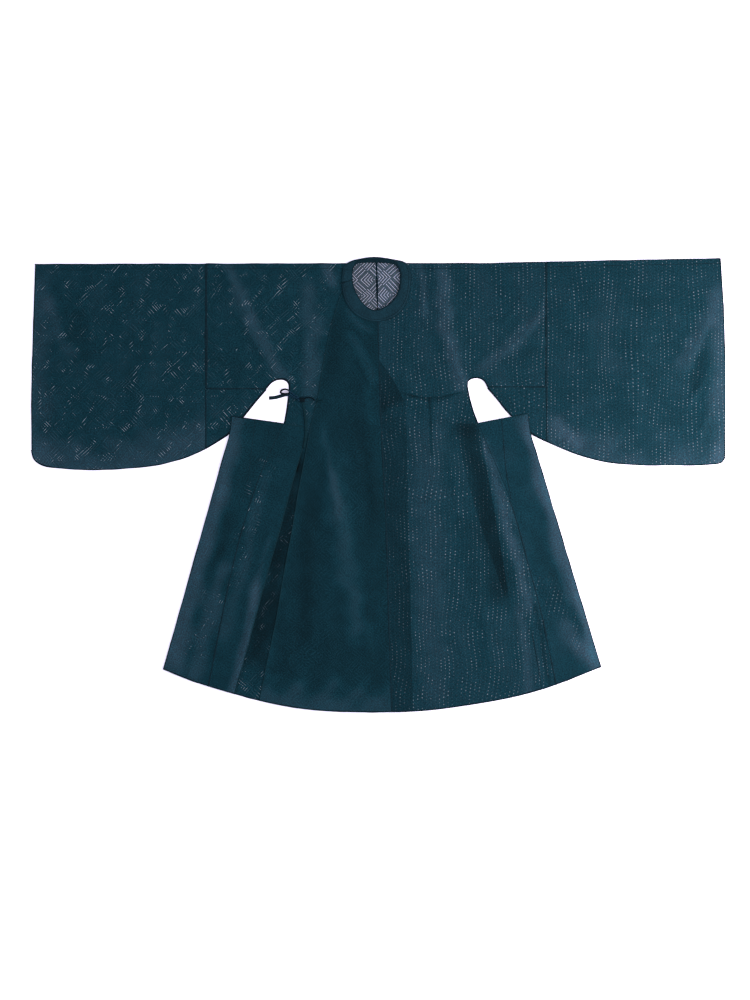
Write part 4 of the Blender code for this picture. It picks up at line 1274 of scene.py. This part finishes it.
def make_trim(trim, kind, inwards, thickness):
    sheet = shells[trim.node].sheets[trim.sheet]
    line = sheet.stretch((trim.x0, trim.y0), (trim.x1, trim.y1))
    middle = sheet.outline.mean(0)
    moved = offset_line(line, inwards)
    # the side that the piece itself is on
    if inside(sheet.outline, moved).mean() < 0.5:
        moved = offset_line(line, -inwards)
    heights = sheet.heights_at(moved if kind == "fold" else line)
    gauze = deep_gauze if trim.name in DEEP_SEAMS else hem_gauze if trim.name in PALE_HEMS else seam_gauze
    widths = uneven_widths(moved, trim.width, len(trim.name))
    sew_on(f"{kind}_{trim.name}", trim.node, moved, heights, widths, thickness, gauze)


# Stitches: what their node tree is given, and the lines that they follow on each piece
STITCHING = (
    ("Pitch", "NodeSocketFloat", 8.0 * MM), ("Length", "NodeSocketFloat", 3.4 * MM),
    ("Width", "NodeSocketFloat", 0.7 * MM), ("Depth", "NodeSocketFloat", 0.4 * MM),
    ("Seed", "NodeSocketInt", 7), ("Thread", "NodeSocketMaterial", sewing_thread),
)
stitch_rows = {}


def note_stitches(node, line, heights):
    stitch_rows.setdefault(node, []).append(np.column_stack((line, heights)))


def make_stitch_tree():
    """Lines to rows of short threads, each a spindle of a few faces, a little uneven in size."""
    tree = bpy.data.node_groups.new("stitching", "GeometryNodeTree")
    tree.interface.new_socket("Geometry", in_out="INPUT", socket_type="NodeSocketGeometry")
    for name, kind, value in STITCHING:
        tree.interface.new_socket(name, in_out="INPUT", socket_type=kind).default_value = value
    tree.interface.new_socket("Geometry", in_out="OUTPUT", socket_type="NodeSocketGeometry")

    def node(kind, **settings):
        made = tree.nodes.new(kind)
        for name, value in settings.items():
            setattr(made, name, value)
        return made

    given = node("NodeGroupInput")
    rows = node("GeometryNodeMeshToCurve")
    spaced = node("GeometryNodeResampleCurve", mode="LENGTH")
    spindle = node("GeometryNodeMeshIcoSphere")
    size = node("ShaderNodeCombineXYZ")
    uneven = node("FunctionNodeRandomValue", data_type="FLOAT")
    sized = node("ShaderNodeVectorMath", operation="SCALE")
    tangent = node("GeometryNodeInputTangent")
    turn = node("FunctionNodeAlignRotationToVector", axis="X")
    laid = node("GeometryNodeInstanceOnPoints")
    real = node("GeometryNodeRealizeInstances")
    threaded = node("GeometryNodeSetMaterial")
    result = node("NodeGroupOutput")
    spindle.inputs["Radius"].default_value = 0.5
    uneven.inputs[2].default_value = 0.85
    uneven.inputs[3].default_value = 1.1
    for start, end in (
        (given.outputs["Geometry"], rows.inputs["Mesh"]),
        (rows.outputs["Curve"], spaced.inputs["Curve"]),
        (given.outputs["Pitch"], spaced.inputs["Length"]),
        (spaced.outputs["Curve"], laid.inputs["Points"]),
        (spindle.outputs["Mesh"], laid.inputs["Instance"]),
        (given.outputs["Length"], size.inputs["X"]),
        (given.outputs["Width"], size.inputs["Y"]),
        (given.outputs["Depth"], size.inputs["Z"]),
        (size.outputs[0], sized.inputs[0]),
        (given.outputs["Seed"], uneven.inputs["Seed"]),
        (uneven.outputs[1], sized.inputs["Scale"]),
        (sized.outputs[0], laid.inputs["Scale"]),
        (tangent.outputs[0], turn.inputs["Vector"]),
        (turn.outputs[0], laid.inputs["Rotation"]),
        (laid.outputs[0], real.inputs[0]),
        (real.outputs[0], threaded.inputs["Geometry"]),
        (given.outputs["Thread"], threaded.inputs["Material"]),
        (threaded.outputs[0], result.inputs[0]),
    ):
        tree.links.new(start, end)
    return tree


def make_stitches(node, tree):
    """The stitches of one piece, as a plain mesh."""
    form = bmesh.new()
    for row in stitch_rows[node]:
        made = [form.verts.new(c) for c in to_frame(row)]
        for a, b in zip(made, made[1:]):
            form.edges.new((a, b))
    piece = make_object("stitches_" + node, form, sewing_thread)
    laid = piece.modifiers.new("stitching", "NODES")
    laid.node_group = tree
    values = {name: value for name, _, value in STITCHING}
    for item in tree.interface.items_tree:
        if item.in_out == "INPUT" and item.name in values:
            laid[item.identifier] = values[item.name]
    ready = piece.evaluated_get(bpy.context.evaluated_depsgraph_get())
    mesh = bpy.data.meshes.new_from_object(ready)
    piece.modifiers.remove(laid)
    piece.data = mesh
    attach(piece, "root")
    return piece


def make_trims():
    for trim in HEMS:
        make_trim(trim, "hem", trim.width / 2 - PAST_EDGE, HEM_DEPTH)
    for trim in SEAMS:
        make_trim(trim, "seam", SEAM_INSIDE, SEAM_DEPTH)
    for trim in FOLD_LINES:
        make_trim(trim, "fold", FOLD_LINE_INSIDE, LINE_DEPTH)
    for line in LINES:
        make_line(line)
    for node in list(stitch_rows):
        shells[node].trims.append(make_stitches(node, stitch_tree))


# The collar, at stations from its outer end round to its inner one: its inner and outer edge and its layer
LAYER = 1.3
Station = namedtuple("Station", "in_x in_y out_x out_y layer")
COLLAR = (
    Station(-69, 17, -96, 17, 3.0), Station(-70, 33, -98, 38, 3.0), Station(-67, 61, -97, 75, 3.0),
    Station(-57, 88, -86, 112, 3.0), Station(-42, 111, -63, 142, 3.0), Station(-23, 128, -30, 160, 3.0),
    Station(-3, 134, 3, 165, 3.0), Station(21, 125, 35, 158, 3.0), Station(44, 107, 65, 140, 3.0),
    Station(61, 80, 87, 104, 3.0), Station(68, 44, 96, 61, 3.0), Station(65, 18, 96, 24, 3.0),
    Station(51, 0, 83, -1, 3.0), Station(27, -6, 48, -11, 1.8), Station(-5, -6, -5, -18, 1.0),
    Station(-36, -6, -42, -14, 1.1), Station(-55, -2, -76, -5, 2.0), Station(-66, 11, -95, 10, 2.0),
    Station(-70, 28, -98, 28, 2.0), Station(-70, 44, -98, 44, 2.0),
)
# Round the collar, over it from its inner edge to its outer one and back below: how far across, and how high
COLLAR_SECTION = (
    (0.0, 0.45), (0.015, 0.85), (0.05, 1.05), (0.09, 0.8), (0.2, 0.95), (0.5, 1.05), (0.78, 0.95),
    (0.84, 0.75), (0.9, 0.95), (0.98, 0.85), (1.0, 0.45), (0.98, 0.1), (0.5, 0.05), (0.02, 0.1),
)
COLLAR_STEP = 6         # points from one station to the next
# Lines along the collar: how far across, their width and how high above its underside
Edging = namedtuple("Edging", "name across width height")
EDGINGS = (Edging("inner", 0.0, 3.2, 0.95), Edging("seam", 0.84, 1.8, 0.8), Edging("outer", 1.0, 1.8, 0.5))
EDGING_DEPTH = 0.5
# Lines across it: at which of its points, their width and their gauze
Crossing = namedtuple("Crossing", "name row width gauze")
CROSSINGS = (Crossing("end", 0, 1.4, collar_gauze), Crossing("overlap", 9, 5.0, seam_gauze))
CROSSING_DEPTH, CROSSING_HEIGHT = 0.6, 0.8


def collar_lines():
    """The collar's inner and outer edge, with its height at each of their points."""
    inner = smooth_line([(station.in_x, station.in_y) for station in COLLAR], count=COLLAR_STEP)
    outer = smooth_line([(station.out_x, station.out_y) for station in COLLAR], count=COLLAR_STEP)
    heights = []
    for here, following in zip(COLLAR, COLLAR[1:]):
        rise = following.layer - here.layer
        heights += [(here.layer + rise * k / COLLAR_STEP) * LAYER for k in range(COLLAR_STEP)]
    heights.append(COLLAR[-1].layer * LAYER)
    return inner, outer, np.array(heights)


def make_collar():
    """The neck band, a flat tube with a rolled inner edge and a seam groove near its outer one."""
    inner, outer, heights = collar_lines()
    form = bmesh.new()
    form.loops.layers.uv.new("weave")
    along = lengths_along((inner + outer) / 2)
    rings = []
    for a, b, height in zip(inner, outer, heights):
        corners = to_frame([(*(a + (b - a) * share), height + up) for share, up in COLLAR_SECTION])
        rings.append([form.verts.new(c) for c in corners])

    def place_of(row, turn):
        share = COLLAR_SECTION[turn % len(COLLAR_SECTION)][0]
        return along[row] * MM, np.linalg.norm(outer[row] - inner[row]) * share * MM

    join_rings(form, rings, place_of)
    collar = make_object("collar_band", form, collar_gauze)
    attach(collar, "root")
    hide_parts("collar")
    for edging in EDGINGS:
        line = inner + (outer - inner) * edging.across
        width = edging.width
        if edging.name == "inner":
            # the dark line along the inner edge's roll is broader at the nape and at the wearer's left, as
            # painted shadow of the roll, and grows outwards
            band_width = 30
            width = np.interp(line[:, 0], (-40, 55), (2.0, 5.6)) + np.interp(line[:, 1], (-6, 6), (8.6, 0.0))
            line = line + (outer - inner) / band_width * (width / 2 - 1)[:, None]
        edging_heights = heights + edging.height
        piece = flat_tube("collar_line_" + edging.name, line, edging_heights, width, EDGING_DEPTH, seam_gauze)
        if edging.name == "seam":
            note_stitches("collar", line, edging_heights + EDGING_DEPTH / 2)
    for crossing in CROSSINGS:
        start, end = inner[crossing.row], outer[crossing.row]
        line = np.array([start, (start + end) / 2, end])
        crossing_heights = np.full(3, heights[crossing.row] + CROSSING_HEIGHT)
        piece = flat_tube(
            "collar_line_" + crossing.name, line, crossing_heights, crossing.width, CROSSING_DEPTH,
            crossing.gauze,
        )
    make_stitches("collar", stitch_tree)
    width = np.linalg.norm(outer - inner, axis=1).mean()


# The ties
TIE_WIDTH = 9.0
KNOT_X, KNOT_Y = -213, 389
BOW_HEIGHT, INNER_HEIGHT = 6.4, 1.75                # of the middles of their strips
BOW_DEPTH, TAIL_DEPTH, INNER_DEPTH = 5.2, 0.8, 0.5  # bunched, lying flat, and between the layers of the robe


def tie_band(name, points, heights, widths, thickness, node, covers=(), **facts):
    """A strip of a tie along some points, with heights and widths spread evenly along it."""
    line = smooth_line(points, 4)
    knots = np.linspace(0, 1, len(heights))
    share = np.linspace(0, 1, len(line))
    heights = np.interp(share, knots, heights)
    widths = np.interp(share, np.linspace(0, 1, len(widths)), widths)
    piece = flat_tube(name, line, heights, widths, thickness, tie_gauze, ring=12, covers=covers)
    if node:
        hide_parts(node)


def make_knot(name, x, y, low, size, node):
    """A wrapped knot: a rounded lump with the turns of the band showing as slanting ridges."""
    form = bmesh.new()
    weave = form.loops.layers.uv.new("weave")
    bmesh.ops.create_icosphere(form, subdivisions=4, radius=1.0)
    boxiness, ridge_height, turns_x, turns_y = 0.75, 0.10, 5.5, 2.6
    for vertex in form.verts:
        a, b, c = vertex.co
        flat = [math.copysign(abs(value) ** boxiness, value) for value in (a, b, c)]
        ridge = 1 + ridge_height * math.cos(turns_x * a + turns_y * b) * (1 - c * c * 0.4)
        place = (x + flat[0] * size[0] / 2 * 0.96, y + flat[1] * size[1] / 2 * 0.96 * ridge,
                 low + size[2] / 2 + flat[2] * size[2] / 2 * (0.86 + 0.12 * ridge))
        vertex.co = to_frame([place])[0]
    for face in form.faces:
        face.smooth = True
        for loop in face.loops:
            loop[weave].uv = loop.vert.co.xy
    bmesh.ops.recalc_face_normals(form, faces=form.faces)
    piece = make_object(name, form, tie_gauze)
    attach(piece, "root")
    if node:
        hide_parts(node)


def make_ties():
    knot_left, knot_right = KNOT_X - 9, KNOT_X + 9
    make_knot("bow_knot", KNOT_X, KNOT_Y, 2.6, (18, 14, 6.5), "tie_knot")
    tie_band(
        "bow_strap", [(knot_right - 2, 386), (-196, 382), (-186, 383), (-178, 389), (-166, 393), (-152, 392)],
        [BOW_HEIGHT], [3.2], BOW_DEPTH, "tie_flap", covers=[Cover(hem_gauze, 0.55, 1.0, True)],
        held="folded", rests_on=["gauze_overlap_outer"],
    )
    tie_band(
        "bow_loop", [
            (knot_left + 2, 384.5), (-249, 364), (-256, 359.5), (-264, 359), (-271, 362), (-274, 367),
            (-269, 371.5), (-261, 372.5), (-250, 371.5), (knot_left + 2, 391.5)],
        [BOW_HEIGHT], [2.8, 3.2, 4.2, 4.4, 4.6, 5.6, 5.6, 4.6, 4.2, 3.2, 2.8], BOW_DEPTH, "tie_loop",
        covers=[Cover(pale_gauze, 0.0, 0.26, True), Cover(pale_gauze, 0.74, 1.0, True)],
        held="folded", rests_on=["gauze_front_left"],
    )
    tie_band(
        "bow_tail_side", [(knot_left + 3, 388), (-253, 374.5), (-276, 379), (-288, 382), (-307, 384)],
        [3.0, 3.0, 1.6, 0.6, 0.5], [5.0, 7.0, TIE_WIDTH, TIE_WIDTH + 1, TIE_WIDTH + 1], TAIL_DEPTH,
        "tie_tail_side",
        covers=[Cover(tail_gauze, 0.42, 0.96, False), Cover(pale_gauze, 0.0, 0.42, True)],
        held="laid", rests_on=["bow_knot"],
    )
    tie_band(
        "bow_tail_down", [(-211, 394), (-206, 420), (-202, 458), (-202, 492), (-207, 526)],
        [4.4], [6.0, 7.0, 7.0, 7.0], TAIL_DEPTH, "tie_tail_down", covers=[Cover(hem_gauze, 0.0, 1.0, False)],
        held="laid", rests_on=["gauze_overlap_outer"],
    )
    make_inner_tie()


def make_inner_tie():
    knot = (151, 386)
    make_knot("inner_knot", *knot, 1.35, (17, 17, 0.9), None)
    for name, points, widths, node in (
        ("inner_tail", [(153, 392), (154, 440), (156, 560)], [7.5, TIE_WIDTH], None),
        ("inner_strap", [(92, 384), (140, 386), knot], [TIE_WIDTH, 7.5], None),
        ("inner_far_strap", [knot, (165, 384), (210, 375), (255, 364)], [7.5, TIE_WIDTH], "tie_inside"),
    ):
        tie_band(
            name, points, [INNER_HEIGHT], widths, INNER_DEPTH, node,
            held="laid", rests_on=["gauze_back_right"],
        )


make_camera()
make_studio()
make_floor()
for cloth in CLOTHS:
    make_cloth(cloth)
stitch_tree = make_stitch_tree()
make_trims()
make_collar()
make_ties()
declare_cloths()
